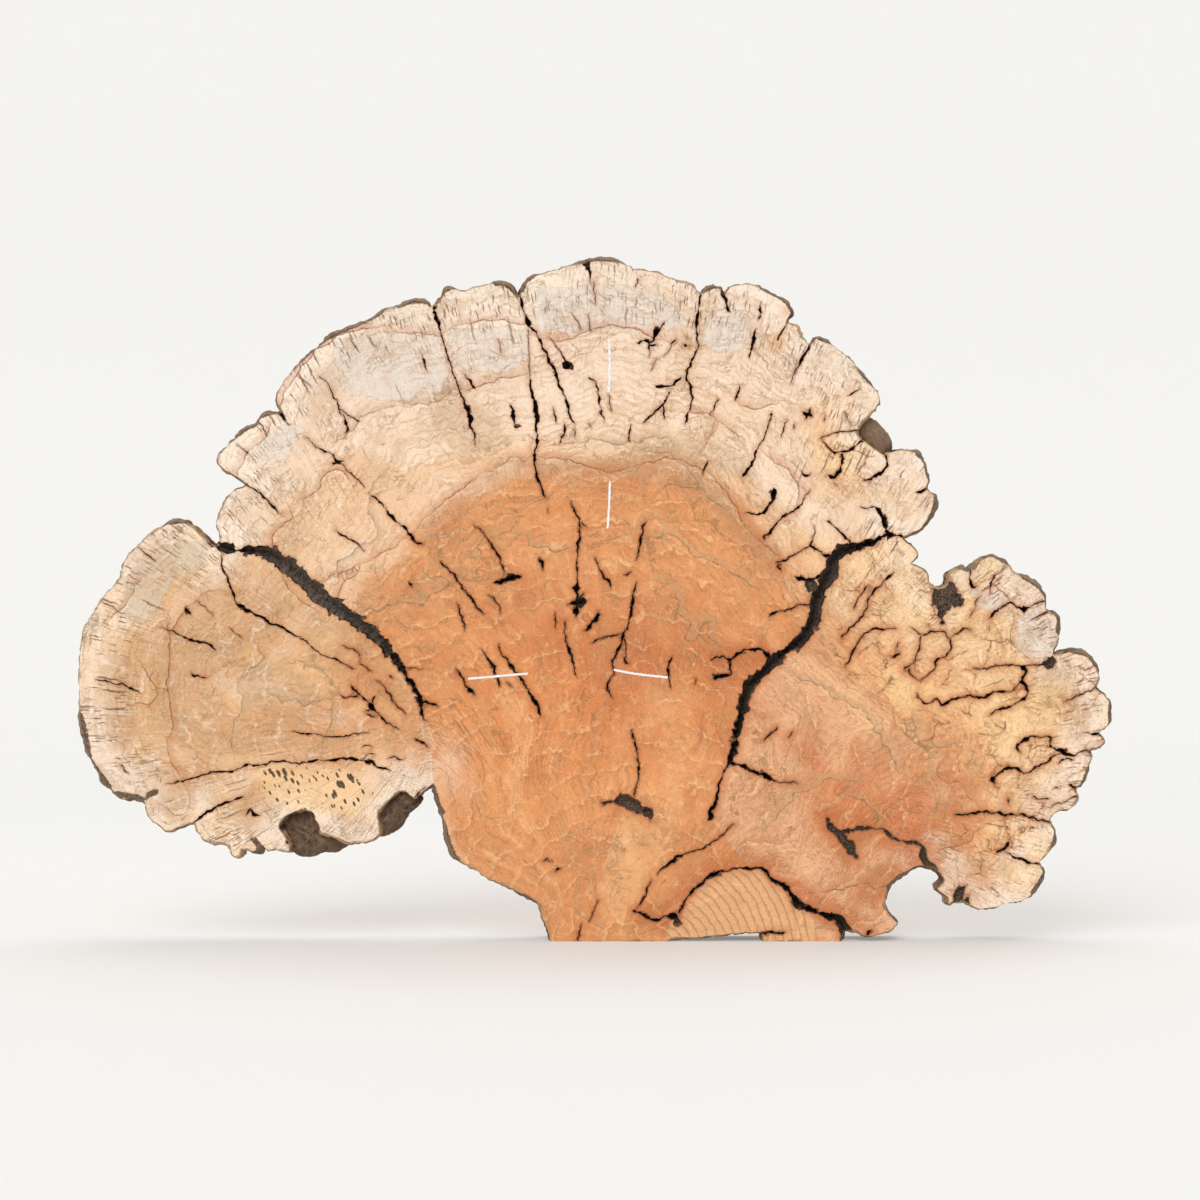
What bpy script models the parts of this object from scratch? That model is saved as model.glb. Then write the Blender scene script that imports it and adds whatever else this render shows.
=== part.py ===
"""Wood slice: a cross slice of a lobed old trunk with its live edge, standing on its sawn foot.

Metres, +Z up. The front face looks along -Y. Outlines and cracks are read in millimetres as (x, z) on the face,
with z measured up from the foot and x from the middle of the slice.
"""

import bpy
import bmesh
from mathutils import Vector, noise

MM = 0.001

# Driving dimensions
WIDTH = 1.602
THICKNESS = 0.0762
FRONT = -THICKNESS / 2
BACK = THICKNESS / 2

# The live edge from front to back: how deep each ring lies, and how far it stays inside the widest line
EDGE_RINGS = ((0.0, 4.0), (0.20, 1.2), (0.62, 0.0), (1.0, 2.4))
EDGE_RIPPLE = 2.2
RIPPLE_SPACING = 60.0

# Where the sawn foot cuts, and how far the uncut outline runs below it
FOOT_BELOW = -12

# A crack is a V groove: its depth is this many times its width, up to a limit
DEPTH_TO_WIDTH = 2.6
DEEPEST_CRACK = 0.030
CRACK_LIP = 0.002

# The outline runs clockwise as seen from the front. Each stretch ends in the notch where the next begins.
OUTLINE = {
    "stem, left": [
        (-66, FOOT_BELOW), (-72, 8), (-81, 32), (-90, 57), (-107, 68), (-126, 79), (-154, 90), (-186, 108),
        (-217, 130), (-229, 151), (-235, 183), (-244, 211), (-251, 242),
    ],
    "left lobe, inner underside": [
        (-266, 230), (-279, 219), (-293, 230), (-305, 228), (-320, 214), (-333, 198), (-331, 172), (-342, 156),
        (-366, 150), (-386, 149),
    ],
    "left lobe, bark hollow": [
        (-405, 160), (-425, 165), (-432, 185), (-442, 200), (-458, 200), (-478, 192), (-487, 180), (-478, 163),
        (-471, 150), (-471, 137),
    ],
    "left lobe, toes": [(-494, 140), (-508, 139), (-514, 145), (-520, 136), (-546, 140)],
    "left lobe, outer underside": [
        (-549, 130), (-561, 131), (-571, 147), (-594, 151), (-613, 161), (-622, 182),
    ],
    "left lobe, lower corner": [
        (-642, 176), (-660, 169), (-674, 177), (-692, 190), (-701, 218),
    ],
    "left end": [
        (-712, 220), (-732, 218), (-750, 234), (-766, 247), (-770, 261), (-783, 281), (-789, 297), (-796, 315),
        (-800, 350), (-801, 400), (-800, 445), (-796, 475), (-783, 502), (-773, 521), (-759, 541), (-739, 563),
        (-731, 589), (-711, 613), (-689, 634), (-664, 648), (-648, 653), (-625, 645), (-611, 632), (-590, 614),
    ],
    "round lobe": [(-583, 625), (-588, 650), (-578, 679), (-560, 700), (-541, 707)],
    "left shoulder": [
        (-556, 720), (-578, 732), (-587, 745), (-583, 756), (-563, 777), (-546, 794), (-527, 803), (-515, 817),
        (-490, 821),
    ],
    "top left lobe": [
        (-494, 832), (-494, 847), (-483, 868), (-469, 886), (-455, 902), (-432, 921), (-411, 941), (-379, 953),
        (-347, 966), (-329, 979), (-301, 987), (-280, 995), (-260, 991), (-255, 985),
    ],
    "crown, left": [(-244, 994), (-229, 1013), (-205, 1010), (-176, 1018), (-139, 1021), (-119, 1002)],
    "crown": [
        (-112, 1018), (-97, 1032), (-65, 1041), (-27, 1053), (2, 1059), (26, 1059), (63, 1045), (97, 1038),
        (126, 1026), (153, 1017), (164, 1004),
    ],
    "crown, right bud": [(177, 1016), (195, 1015), (201, 1006)],
    "crown, right": [(213, 1018), (246, 1019), (268, 1009), (298, 992), (307, 976), (298, 960)],
    "right shoulder step": [(314, 955), (323, 940), (334, 926)],
    "right shoulder": [(345, 938), (362, 931), (390, 910), (416, 881), (440, 850), (443, 837), (428, 816)],
    "behind the upper bark lump": [(410, 790), (425, 772), (448, 757)],
    "upper right lobe": [(464, 762), (482, 763), (502, 757), (514, 738), (519, 712), (515, 702)],
    "lobe above the right fissure": [(530, 689), (527, 667), (508, 640), (478, 625)],
    "lobe under the right fissure": [(496, 611), (503, 600), (493, 586)],
    "right, small step": [(513, 576), (518, 557)],
    "right, bark notch": [(528, 550), (543, 551), (551, 571), (570, 579), (576, 575)],
    "right, upper lobe": [
        (587, 579), (600, 593), (621, 598), (639, 587), (651, 572), (673, 563), (690, 551), (699, 532),
    ],
    "right, upper step": [(703, 513), (720, 507), (722, 497), (719, 462), (712, 446)],
    "right, middle lobe": [(737, 450), (758, 449), (774, 436), (783, 412), (778, 392)],
    "right end": [(797, 377), (801, 355), (797, 334), (783, 321)],
    "right, small bud": [(792, 310), (785, 301), (767, 294)],
    "right, lower step": [(773, 288), (766, 265), (757, 242), (748, 237)],
    "right, lower lobe": [(751, 222), (741, 206), (718, 200), (706, 187)],
    "right, underside lobe": [(716, 166), (710, 144), (690, 121)],
    "right, bottom lobe": [(698, 104), (686, 82), (668, 63), (640, 56), (597, 48), (570, 60)],
    "right, bark wedge": [(549, 55), (545, 66), (530, 81), (540, 94), (527, 113)],
    "right of the stem": [
        (505, 115), (484, 105), (461, 89), (453, 67), (450, 58), (461, 38), (471, 27), (453, 12), (422, 6),
        (404, 13), (391, 11), (385, FOOT_BELOW),
    ],
    "foot with its hollow": [
        (262, FOOT_BELOW), (258, 10), (240, 11), (200, 8), (160, 4), (120, 2), (100, FOOT_BELOW),
    ],
}

# Lumps of bark that stand out behind the sawn face
BARK_LUMPS = {
    "upper right lump": [
        (412, 812), (430, 813), (447, 800), (456, 789), (464, 767), (446, 752), (420, 766), (403, 788),
    ],
    "left lobe lump": [
        (-489, 185), (-470, 200), (-445, 206), (-426, 192), (-418, 172), (-400, 166), (-384, 154), (-400, 137),
        (-426, 135), (-442, 129), (-462, 131), (-475, 140), (-482, 160),
    ],
    "inner left lump": [
        (-339, 205), (-318, 223), (-300, 236), (-284, 228), (-270, 216), (-291, 195), (-305, 174), (-328, 161),
        (-344, 164),
    ],
}
LUMP_RINGS = ((0.24, 0.62), (0.36, 0.94), (0.62, 1.0), (0.93, 0.97))

# Cracks as (x, z, width), all in millimetres. Those of the first group open on the back as well.
THROUGH_CRACKS = {
    "left great fissure": [
        (-602, 622, 16), (-575, 611, 14), (-530, 607, 12), (-495, 595, 20), (-475, 581, 22), (-450, 558, 22),
        (-420, 532, 21), (-375, 500, 18), (-330, 465, 16), (-300, 425, 10), (-278, 390, 8), (-264, 345, 4),
    ],
    "left great fissure, lower branch": [
        (-578, 600, 4), (-568, 560, 4), (-548, 520, 6), (-515, 502, 5), (-485, 485, 5), (-440, 458, 4),
        (-400, 436, 3),
    ],
    "right great fissure": [
        (492, 622, 9), (452, 629, 9), (415, 614, 12), (385, 605, 15), (369, 590, 15), (364, 568, 18),
        (350, 545, 17), (342, 515, 16), (332, 485, 17), (312, 462, 16), (278, 438, 16), (240, 398, 14),
        (230, 360, 14), (218, 310, 10), (208, 276, 9), (193, 243, 4), (188, 218, 7), (180, 192, 10),
    ],
    "top left crack": [
        (-254, 998, 11), (-248, 978, 11), (-236, 936, 4), (-216, 873, 4), (-193, 810, 8), (-184, 770, 3),
    ],
    "crown crack": [
        (-120, 1008, 8), (-107, 967, 8), (-88, 938, 6), (-63, 885, 6), (-48, 845, 6), (-32, 801, 2),
    ],
    "crown right crack": [(166, 1010, 6), (160, 975, 5), (158, 935, 4), (149, 897, 5), (147, 850, 3), (141, 802, 3)],
    "foot fissure, right": [
        (392, 4, 16), (365, 38, 9), (335, 50, 8), (310, 65, 10), (288, 90, 9), (258, 114, 5), (215, 112, 3),
    ],
}
FACE_CRACKS = {
    "right fissure, outer branch": [(455, 628, 6), (447, 655, 9), (432, 672, 8), (412, 676, 3)],
    "right fissure, upper branch": [(402, 616, 6), (380, 635, 6), (352, 655, 3)],
    "crown middle crack": [
        (-100, 873, 3), (-93, 835, 7), (-91, 795, 7), (-93, 750, 6), (-88, 718, 5), (-76, 688, 2),
    ],
    "left lobe, lower crack": [
        (-665, 244, 2), (-620, 254, 4), (-580, 264, 5), (-538, 273, 5), (-495, 279, 4), (-435, 280, 5),
        (-368, 282, 7), (-335, 269, 4), (-315, 264, 2),
    ],
    "left lobe, notch crack": [(-626, 180, 6), (-600, 200, 5), (-562, 218, 5), (-540, 224, 3)],
    "left lobe, heart check": [(-377, 397, 3), (-360, 379, 5), (-345, 362, 8), (-322, 340, 4), (-303, 329, 2)],
    "upper left check": [(-349, 693, 3), (-318, 663, 5), (-283, 625, 6), (-266, 615, 2)],
    "middle left check": [(-176, 452, 2), (-160, 432, 5), (-150, 405, 7), (-130, 428, 5), (-97, 378, 6), (-83, 349, 3)],
    "heart check, left": [(-37, 682, 3), (-24, 650, 4), (-26, 600, 4), (-28, 545, 9), (-28, 508, 6)],
    "heart check, right": [(65, 557, 3), (58, 518, 6), (42, 463, 5), (28, 428, 4), (18, 394, 6), (28, 376, 3)],
    "lower right check": [(178, 436, 2), (210, 437, 5), (245, 453, 6), (266, 446, 8), (274, 434, 6)],
    "shoulder check": [(274, 820, 5), (262, 782, 3), (246, 742, 6), (226, 714, 6)],
    "right lobe, long check": [
        (506, 372, 3), (545, 370, 6), (592, 379, 5), (640, 387, 4), (664, 415, 9), (672, 385, 7), (612, 351, 2),
    ],
    "right lobe, upper check": [(702, 530, 4), (665, 516, 9), (637, 522, 3), (612, 500, 5)],
    "right lobe, lower check": [(557, 196, 5), (600, 201, 5), (660, 197, 4), (712, 184, 5)],
    "right lobe, side check": [(775, 295, 4), (728, 293, 9), (706, 308, 8), (664, 312, 8), (620, 252, 7)],
    "foot check, left": [(58, 47, 5), (97, 34, 5), (130, 38, 12), (147, 72, 5), (183, 104, 7), (215, 112, 3)],
    "bark inclusion, lower right": [(360, 190, 6), (375, 168, 14), (395, 146, 12), (410, 126, 6)],
    "bark inclusion, heart": [(10, 214, 6), (40, 216, 14), (66, 208, 14), (86, 198, 12), (88, 186, 6)],
}

MATERIAL = {"color": (0.70, 0.46, 0.27, 1.0), "roughness": 0.75, "metallic": 0.0}


def clear_scene():
    for obj in list(bpy.data.objects):
        bpy.data.objects.remove(obj, do_unlink=True)


def new_collection(name, parent=None):
    collection = bpy.data.collections.new(name)
    (parent or bpy.context.scene.collection).children.link(collection)
    return collection


def solid_through(name, rings, collection):
    """One closed solid lofted through rings that have the same number of points."""
    bm = bmesh.new()
    rows = [[bm.verts.new(point) for point in ring] for ring in rings]
    bm.faces.new(rows[0])
    bm.faces.new(reversed(rows[-1]))
    for near, far in zip(rows, rows[1:]):
        for i in range(len(near)):
            j = (i + 1) % len(near)
            bm.faces.new((near[j], near[i], far[i], far[j]))
    bmesh.ops.recalc_face_normals(bm, faces=bm.faces)
    mesh = bpy.data.meshes.new(name)
    bm.to_mesh(mesh)
    bm.free()
    obj = bpy.data.objects.new(name, mesh)
    collection.objects.link(obj)
    return obj


def smoothed(stretches):
    """Every point of the outline, with one more halfway along each span. A span curves, save at a notch."""
    points = []
    before = stretches[-1][-1]
    for stretch in stretches:
        span_ends = [Vector(point) for point in (before, *stretch)]
        last = len(span_ends) - 1
        heading = [
            (span_ends[min(i + 1, last)] - span_ends[max(i - 1, 0)]).normalized() for i in range(last + 1)
        ]
        for i in range(last):
            start, end = span_ends[i], span_ends[i + 1]
            bend = (heading[i] - heading[i + 1]) * (end - start).length / 8
            points += [(start + end) / 2 + bend, end]
        before = stretch[-1]
    return points


def outward_directions(points):
    """The unit direction away from the wood at each point of a clockwise outline."""
    directions = []
    for i, here in enumerate(points):
        along = (here - points[i - 1]).normalized() + (points[(i + 1) % len(points)] - here).normalized()
        directions.append(Vector((-along.y, along.x)).normalized())
    return directions


def live_edge_rings(points):
    """The outline at each depth of the live edge, pulled in towards both faces and rippled a little."""
    directions = outward_directions(points)
    rings = []
    for depth, inset in EDGE_RINGS:
        y = FRONT + depth * THICKNESS
        ring = []
        for point, outward in zip(points, directions):
            ripple = noise.noise(Vector((point.x, point.y, 300 * depth)) / RIPPLE_SPACING)
            moved = point - outward * (inset + EDGE_RIPPLE * depth * abs(ripple))
            ring.append(Vector((moved.x * MM, y, moved.y * MM)))
        rings.append(ring)
    return rings


def lump_rings(points):
    """A lump's outline at each depth, smaller towards its rounded front."""
    middle = sum(points, Vector((0, 0))) / len(points)
    rings = []
    for depth, scale in LUMP_RINGS:
        y = FRONT + depth * THICKNESS
        scaled = [middle + (point - middle) * scale for point in points]
        rings.append([Vector((point.x * MM, y, point.y * MM)) for point in scaled])
    return rings


def groove_rings(path, face_y, inwards):
    """V sections along a crack. Inwards is 1 from the front face and -1 from the back."""
    points = [Vector((x, z)) for x, z, _ in path]
    rings = []
    for i, (x, z, width) in enumerate(path):
        along = (points[min(i + 1, len(path) - 1)] - points[max(i - 1, 0)]).normalized()
        across = Vector((-along.y, 0, along.x))
        depth = min(DEEPEST_CRACK, DEPTH_TO_WIDTH * width * MM)
        half = across * (width / 2 * MM) * (1 + CRACK_LIP / depth)
        lip = Vector((x * MM, face_y - inwards * CRACK_LIP, z * MM))
        bottom = Vector((x * MM, face_y + inwards * depth, z * MM))
        rings.append([lip + half, lip - half, bottom])
    return rings


def as_helper(obj):
    obj.display_type = "WIRE"
    obj.hide_render = True


def sawn_foot_cutter(collection):
    bpy.ops.mesh.primitive_cube_add(size=1)
    cutter = bpy.context.object
    cutter.name = "cutter_foot"
    for holder in list(cutter.users_collection):
        holder.objects.unlink(cutter)
    collection.objects.link(cutter)
    cutter.scale = (WIDTH, 2 * THICKNESS, 0.1)
    cutter.location = (0, 0, -0.05)
    return cutter


def add_boolean(obj, name, operation, collection):
    modifier = obj.modifiers.new(name, "BOOLEAN")
    modifier.operation = operation
    modifier.operand_type = "COLLECTION"
    modifier.collection = collection
    modifier.solver = "EXACT"
    return modifier


def wood_material():
    material = bpy.data.materials.new("wood")
    material.use_nodes = True
    shader = material.node_tree.nodes["Principled BSDF"]
    shader.inputs["Base Color"].default_value = MATERIAL["color"]
    shader.inputs["Roughness"].default_value = MATERIAL["roughness"]
    shader.inputs["Metallic"].default_value = MATERIAL["metallic"]
    return material


def main():
    clear_scene()
    parts = new_collection("wood slice")
    lumps = new_collection("bark lumps")
    cutters = new_collection("cutters")

    points = smoothed(list(OUTLINE.values()))
    body = solid_through("wood_slice", live_edge_rings(points), parts)
    body.data.materials.append(wood_material())

    for name, outline in BARK_LUMPS.items():
        lump = solid_through(f"lump_{name}", lump_rings([Vector(point) for point in outline]), lumps)
        as_helper(lump)

    as_helper(sawn_foot_cutter(cutters))
    for name, path in (THROUGH_CRACKS | FACE_CRACKS).items():
        as_helper(solid_through(f"front_{name}", groove_rings(path, FRONT, 1), cutters))
    for name, path in THROUGH_CRACKS.items():
        as_helper(solid_through(f"back_{name}", groove_rings(path, BACK, -1), cutters))

    add_boolean(body, "bark lumps", "UNION", lumps)
    add_boolean(body, "cracks and foot", "DIFFERENCE", cutters)


main()
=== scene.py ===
# Dresses the wood slice: sawn faces with their cracks, the live bark edge and four plain chalk dashes.
import math
import random

import bpy
import numpy as np
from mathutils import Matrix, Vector, geometry, noise


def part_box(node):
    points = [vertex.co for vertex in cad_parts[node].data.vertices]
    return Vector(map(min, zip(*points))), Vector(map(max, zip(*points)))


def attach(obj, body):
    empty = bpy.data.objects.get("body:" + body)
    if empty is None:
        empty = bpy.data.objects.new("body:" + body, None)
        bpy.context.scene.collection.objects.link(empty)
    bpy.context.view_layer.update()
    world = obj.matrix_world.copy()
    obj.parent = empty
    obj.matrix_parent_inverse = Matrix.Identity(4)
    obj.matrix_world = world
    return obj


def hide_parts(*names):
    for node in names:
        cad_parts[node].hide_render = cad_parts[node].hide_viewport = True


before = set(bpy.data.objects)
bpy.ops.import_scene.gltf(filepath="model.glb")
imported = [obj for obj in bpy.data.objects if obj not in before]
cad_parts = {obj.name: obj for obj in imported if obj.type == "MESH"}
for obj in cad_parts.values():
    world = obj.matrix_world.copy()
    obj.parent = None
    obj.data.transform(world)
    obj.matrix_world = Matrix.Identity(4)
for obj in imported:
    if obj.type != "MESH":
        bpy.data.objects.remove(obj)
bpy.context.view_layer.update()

# The sawn face is read in millimetres: x from the middle of the slice, z up from its foot.
mm = 0.001
boxLow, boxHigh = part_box("wood_slice")
frontY, backY = boxLow[1], boxHigh[1]
thickness = backY - frontY
middleX = (boxLow[0] + boxHigh[0]) / 2
footZ = boxLow[2]

print("camera and light")

camera = {
    "lens": 85,
    "distance": 4.39,  # from the sawn face
    "x": 0.008,
    "z": 0.529,
}
light = {
    "keyFrom": (-0.5, -1.15, 0.95),
    "keySpread": 45,  # degrees
    "keyPower": 1.6,
    "topFrom": (0.1, 0.4, 1.0),
    "topSpread": 50,
    "topPower": 1.3,
    "worldColour": (1.0, 0.99, 0.975, 1),
    "worldStrength": 0.6,
}
stage = {
    "colour": (0.58, 0.577, 0.566, 1),
    "floorGlow": (0.155, 0.155, 0.149, 1),
    "sweepGlow": (0.228, 0.228, 0.220, 1),
    "wallGlow": (0.279, 0.279, 0.270, 1),
    "halfWidth": 9.0,
    "frontY": -7.0,
    "wallY": 4.5,
    "wallTop": 7.0,
    "sweep": 1.6,
}


def makeCamera():
    data = bpy.data.cameras.new("camera")
    data.lens = camera["lens"]
    obj = bpy.data.objects.new("camera", data)
    bpy.context.scene.collection.objects.link(obj)
    obj.location = (camera["x"], frontY - camera["distance"], camera["z"])
    obj.rotation_euler = (math.pi / 2, 0, 0)
    bpy.context.scene.camera = obj


def makeLamp(name, comesFrom, spread, power):
    data = bpy.data.lights.new(name, "SUN")
    data.angle = math.radians(spread)
    data.energy = power
    obj = bpy.data.objects.new(name, data)
    bpy.context.scene.collection.objects.link(obj)
    obj.location = Vector(comesFrom) * 3
    obj.rotation_euler = Vector(comesFrom).to_track_quat("Z", "Y").to_euler()


class Wire:
    # wraps a socket, so that an expression adds its Math nodes

    def __init__(self, tree, socket):
        self.tree = tree
        self.socket = socket

    def math(self, operation, *others):
        settings = {"operation": operation}
        return addNode(self.tree, "ShaderNodeMath", settings, dict(enumerate((self, *others))))

    def __add__(self, other):
        return self.math("ADD", other)

    def __sub__(self, other):
        return self.math("SUBTRACT", other)

    def __mul__(self, other):
        return self.math("MULTIPLY", other)

    def __truediv__(self, other):
        return self.math("DIVIDE", other)

    def __rsub__(self, other):
        return addNode(self.tree, "ShaderNodeMath", {"operation": "SUBTRACT"}, {0: other, 1: self})

    __radd__ = __add__
    __rmul__ = __mul__

    def step(self, low, high):
        # 0 below low, 1 above high and smooth between, also with low above high
        turned = low > high
        values = {0: self, 1: min(low, high), 2: max(low, high), 3: float(turned), 4: float(not turned)}
        return addNode(self.tree, "ShaderNodeMapRange", {"interpolation_type": "SMOOTHSTEP"}, values)

    def size(self):
        return self.math("ABSOLUTE")


def addNode(tree, kind, settings, values, output=0):
    node = tree.nodes.new(kind)
    for name, value in settings.items():
        setattr(node, name, value)
    for key, value in values.items():
        if isinstance(value, Wire):
            tree.links.new(value.socket, node.inputs[key])
        elif value is not None:
            node.inputs[key].default_value = value
    return Wire(tree, node.outputs[output])


def field(tree, name):
    settings = {"attribute_type": "GEOMETRY", "attribute_name": name}
    return addNode(tree, "ShaderNodeAttribute", settings, {}, "Fac")


def place(tree, axis=None):
    # in millimetres
    spot = addNode(tree, "ShaderNodeTexCoord", {}, {}, "Object")
    spot = addNode(tree, "ShaderNodeVectorMath", {"operation": "SCALE"}, {0: spot, "Scale": 1000.0})
    return addNode(tree, "ShaderNodeSeparateXYZ", {}, {0: spot}, axis) if axis else spot


def lay(tree, shader, name, wire):
    tree.links.new(wire.socket, shader.inputs[name])


def vector(tree, x, y, z):
    return addNode(tree, "ShaderNodeCombineXYZ", {}, {0: x, 1: y, 2: z})


def grain(tree, spot, spacing, detail=3.0, roughness=0.55, distortion=0.0):
    values = {"Vector": spot, "Scale": 1 / spacing, "Detail": detail, "Roughness": roughness}
    values["Distortion"] = distortion
    return addNode(tree, "ShaderNodeTexNoise", {"noise_dimensions": "3D"}, values)


def blend(tree, share, under, over):
    settings = {"data_type": "RGBA", "clamp_factor": True}
    return addNode(tree, "ShaderNodeMix", settings, {0: share, 6: under, 7: over}, 2)


def makeWorld():
    world = bpy.data.worlds.new("studio")
    world.use_nodes = True
    background = world.node_tree.nodes["Background"]
    background.inputs["Color"].default_value = light["worldColour"]
    background.inputs["Strength"].default_value = light["worldStrength"]
    bpy.context.scene.world = world
    bpy.context.scene.view_settings.view_transform = "Standard"


def newObject(name, points, faces, smooth=True):
    print("  ", name, len(faces), "faces")
    mesh = bpy.data.meshes.new(name)
    mesh.from_pydata(points, [], faces)
    mesh.validate()
    if smooth:
        mesh.shade_smooth()
    obj = bpy.data.objects.new(name, mesh)
    bpy.context.scene.collection.objects.link(obj)
    return obj


def makeStage():
    # floor, quarter-round sweep and wall in one sheet
    profile = [(stage["frontY"], 0.0), (stage["wallY"] - stage["sweep"], 0.0)]
    for i in range(1, 13):
        turn = i / 12 * math.pi / 2
        y = stage["wallY"] - stage["sweep"] * (1 - math.sin(turn))
        profile.append((y, stage["sweep"] * (1 - math.cos(turn))))
    profile.append((stage["wallY"], stage["wallTop"]))
    points = []
    for y, z in profile:
        points += [(-stage["halfWidth"], y, z), (stage["halfWidth"], y, z)]
    faces = [(2 * i, 2 * i + 1, 2 * i + 3, 2 * i + 2) for i in range(len(profile) - 1)]
    obj = newObject("studio_floor", points, faces)
    material = bpy.data.materials.new("studio paper")
    material.use_nodes = True
    tree = material.node_tree
    shader = tree.nodes["Principled BSDF"]
    shader.inputs["Base Color"].default_value = stage["colour"]
    shader.inputs["Roughness"].default_value = 0.9
    shader.inputs["Specular IOR Level"].default_value = 0.1
    shader.inputs["Emission Strength"].default_value = 1.0
    back = place(tree, "Y").step(-2500, 3000)
    lift = place(tree, "Z").step(0, 2400)
    backGlow = blend(tree, lift, stage["sweepGlow"], stage["wallGlow"])
    lay(tree, shader, "Emission Color", blend(tree, back, stage["floorGlow"], backGlow))
    obj.data.materials.append(material)


makeCamera()
makeLamp("key", light["keyFrom"], light["keySpread"], light["keyPower"])
makeLamp("top", light["topFrom"], light["topSpread"], light["topPower"])
makeWorld()
makeStage()

print("outline")

edge = {
    "step": 3.6,  # mm between points of the outline
    "inset": 3.0,  # the sawn face stays this far inside the widest line of the live edge
    "belly": 3.2,
    "ragged": 1.7,
    "closest": 0.6,  # points nearer to one another than this are left out
    "levels": 18,
    "ridge": 2.1,  # bark ridges and furrows
    "plate": 1.6,
    "bark": 2.4,  # further out where bark still sits
    "grit": 0.5,
    "ridgeSize": (9, 38),  # along the rim, and from face to face
    "plateSize": (27, 24),
    "gritSize": (3.1, 3.4),
    "foot": 0.3,  # faces no higher than this are the sawn foot
}

# Each string is one lobe as "x,z" points, clockwise from the left of the foot.
# It ends in the notch before the next.
outline = [
    "-66,-12 -72,8 -81,32 -90,57 -107,68 -126,79 -154,90 -186,108 -217,130 -229,151 -235,183 -244,211 "
    "-251,242",
    "-266,230 -279,219 -293,230 -305,228 -320,214 -333,198 -331,172 -342,156 -366,150 -386,149",
    "-405,160 -425,165 -432,185 -442,200 -458,200 -478,192 -487,180 -478,163 -471,150 -471,137",
    "-494,140 -508,139 -514,145 -520,136 -546,140",
    "-549,130 -561,131 -571,147 -594,151 -613,161 -622,182",
    "-642,176 -660,169 -674,177 -692,190 -701,218",
    "-712,220 -732,218 -750,234 -766,247 -770,261 -783,281 -789,297 -796,315 -800,350 -801,400 -800,445 "
    "-796,475 -783,502 -773,521 -759,541 -739,563 -731,589 -711,613 -689,634 -664,648 -648,653 -625,645 "
    "-611,632 -590,614",
    "-583,625 -588,650 -578,679 -560,700 -541,707",
    "-556,720 -578,732 -587,745 -583,756 -563,777 -546,794 -527,803 -515,817 -490,821",
    "-494,832 -494,847 -483,868 -469,886 -455,902 -432,921 -411,941 -379,953 -347,966 -329,979 -301,987 "
    "-280,995 -260,991 -255,985",
    "-244,994 -229,1013 -205,1010 -176,1018 -139,1021 -119,1002",
    "-112,1018 -97,1032 -65,1041 -27,1053 2,1059 26,1059 63,1045 97,1038 126,1026 153,1017 164,1004",
    "177,1016 195,1015 201,1006",
    "213,1018 246,1019 268,1009 298,992 307,976 298,960",
    "314,955 323,940 334,926",
    "345,938 362,931 390,910 416,881 440,850 443,837 428,816",
    "410,790 425,772 448,757",
    "464,762 482,763 502,757 514,738 519,712 515,702",
    "530,689 527,667 508,640 478,625",
    "496,611 503,600 493,586",
    "513,576 518,557",
    "528,550 543,551 551,571 570,579 576,575",
    "587,579 600,593 621,598 639,587 651,572 673,563 690,551 699,532",
    "703,513 720,507 722,497 719,462 712,446",
    "737,450 758,449 774,436 783,412 778,392",
    "797,377 801,355 797,334 783,321",
    "792,310 785,301 767,294",
    "773,288 766,265 757,242 748,237",
    "751,222 741,206 718,200 706,187",
    "716,166 710,144 690,121",
    "698,104 686,82 668,63 640,56 597,48 570,60",
    "549,55 545,66 530,81 540,94 527,113",
    "505,115 484,105 461,89 453,67 450,58 461,38 471,27 453,12 422,6 404,13 391,11 385,-12",
    "262,-12 258,10 240,11 200,8 160,4 120,2 100,-12",
]

barkLumps = [
    "412,812 430,813 447,800 456,789 464,767 446,752 420,766 403,788",
    "-489,185 -470,200 -445,206 -426,192 -418,172 -400,166 -384,154 -400,137 -426,135 -442,129 -462,131 "
    "-475,140 -482,160",
    "-339,205 -318,223 -300,236 -284,228 -270,216 -291,195 -305,174 -328,161 -344,164",
]


def readPoints(text):
    # "x,z" or "x,z,width" points; a point without its width keeps the width before
    points = []
    for point in text.split():
        numbers = tuple(float(number) for number in point.split(","))
        points.append(numbers + (points[-1][len(numbers):] if points else ()))
    return points


def readPaths(text):
    # one path a line; an indented line goes on with the path above
    return [readPoints(path) for path in text.strip().replace("\n ", " ").splitlines()]


def unit(vectors):
    return vectors / np.maximum(np.linalg.norm(vectors, axis=-1, keepdims=True), 1e-6)


def wobble(x, z, spacing, seed=0.0):
    return noise.noise(Vector((x / spacing, z / spacing, seed)))


def curveThrough(points, step):
    # a smooth run through the points, in even steps from each to the next
    # the width, where the points have one, is blended
    ends = [np.array(point, float) for point in points]
    last = len(ends) - 1
    heading = []
    for i in range(last + 1):
        heading.append(unit(ends[min(i + 1, last)][:2] - ends[max(i - 1, 0)][:2]))
    run = [ends[0]]
    for i in range(last):
        start, end = ends[i], ends[i + 1]
        length = np.linalg.norm(end[:2] - start[:2])
        steps = max(1, round(length / step))
        for k in range(1, steps + 1):
            t = k / steps
            here = start + (end - start) * t
            smooth = t * t * (3 - 2 * t)
            place = start[:2] + (end[:2] - start[:2]) * smooth
            place = place + length * ((t - 2 * t**2 + t**3) * heading[i] + (t**3 - t**2) * heading[i + 1])
            here[:2] = place
            run.append(here)
    return run


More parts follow.
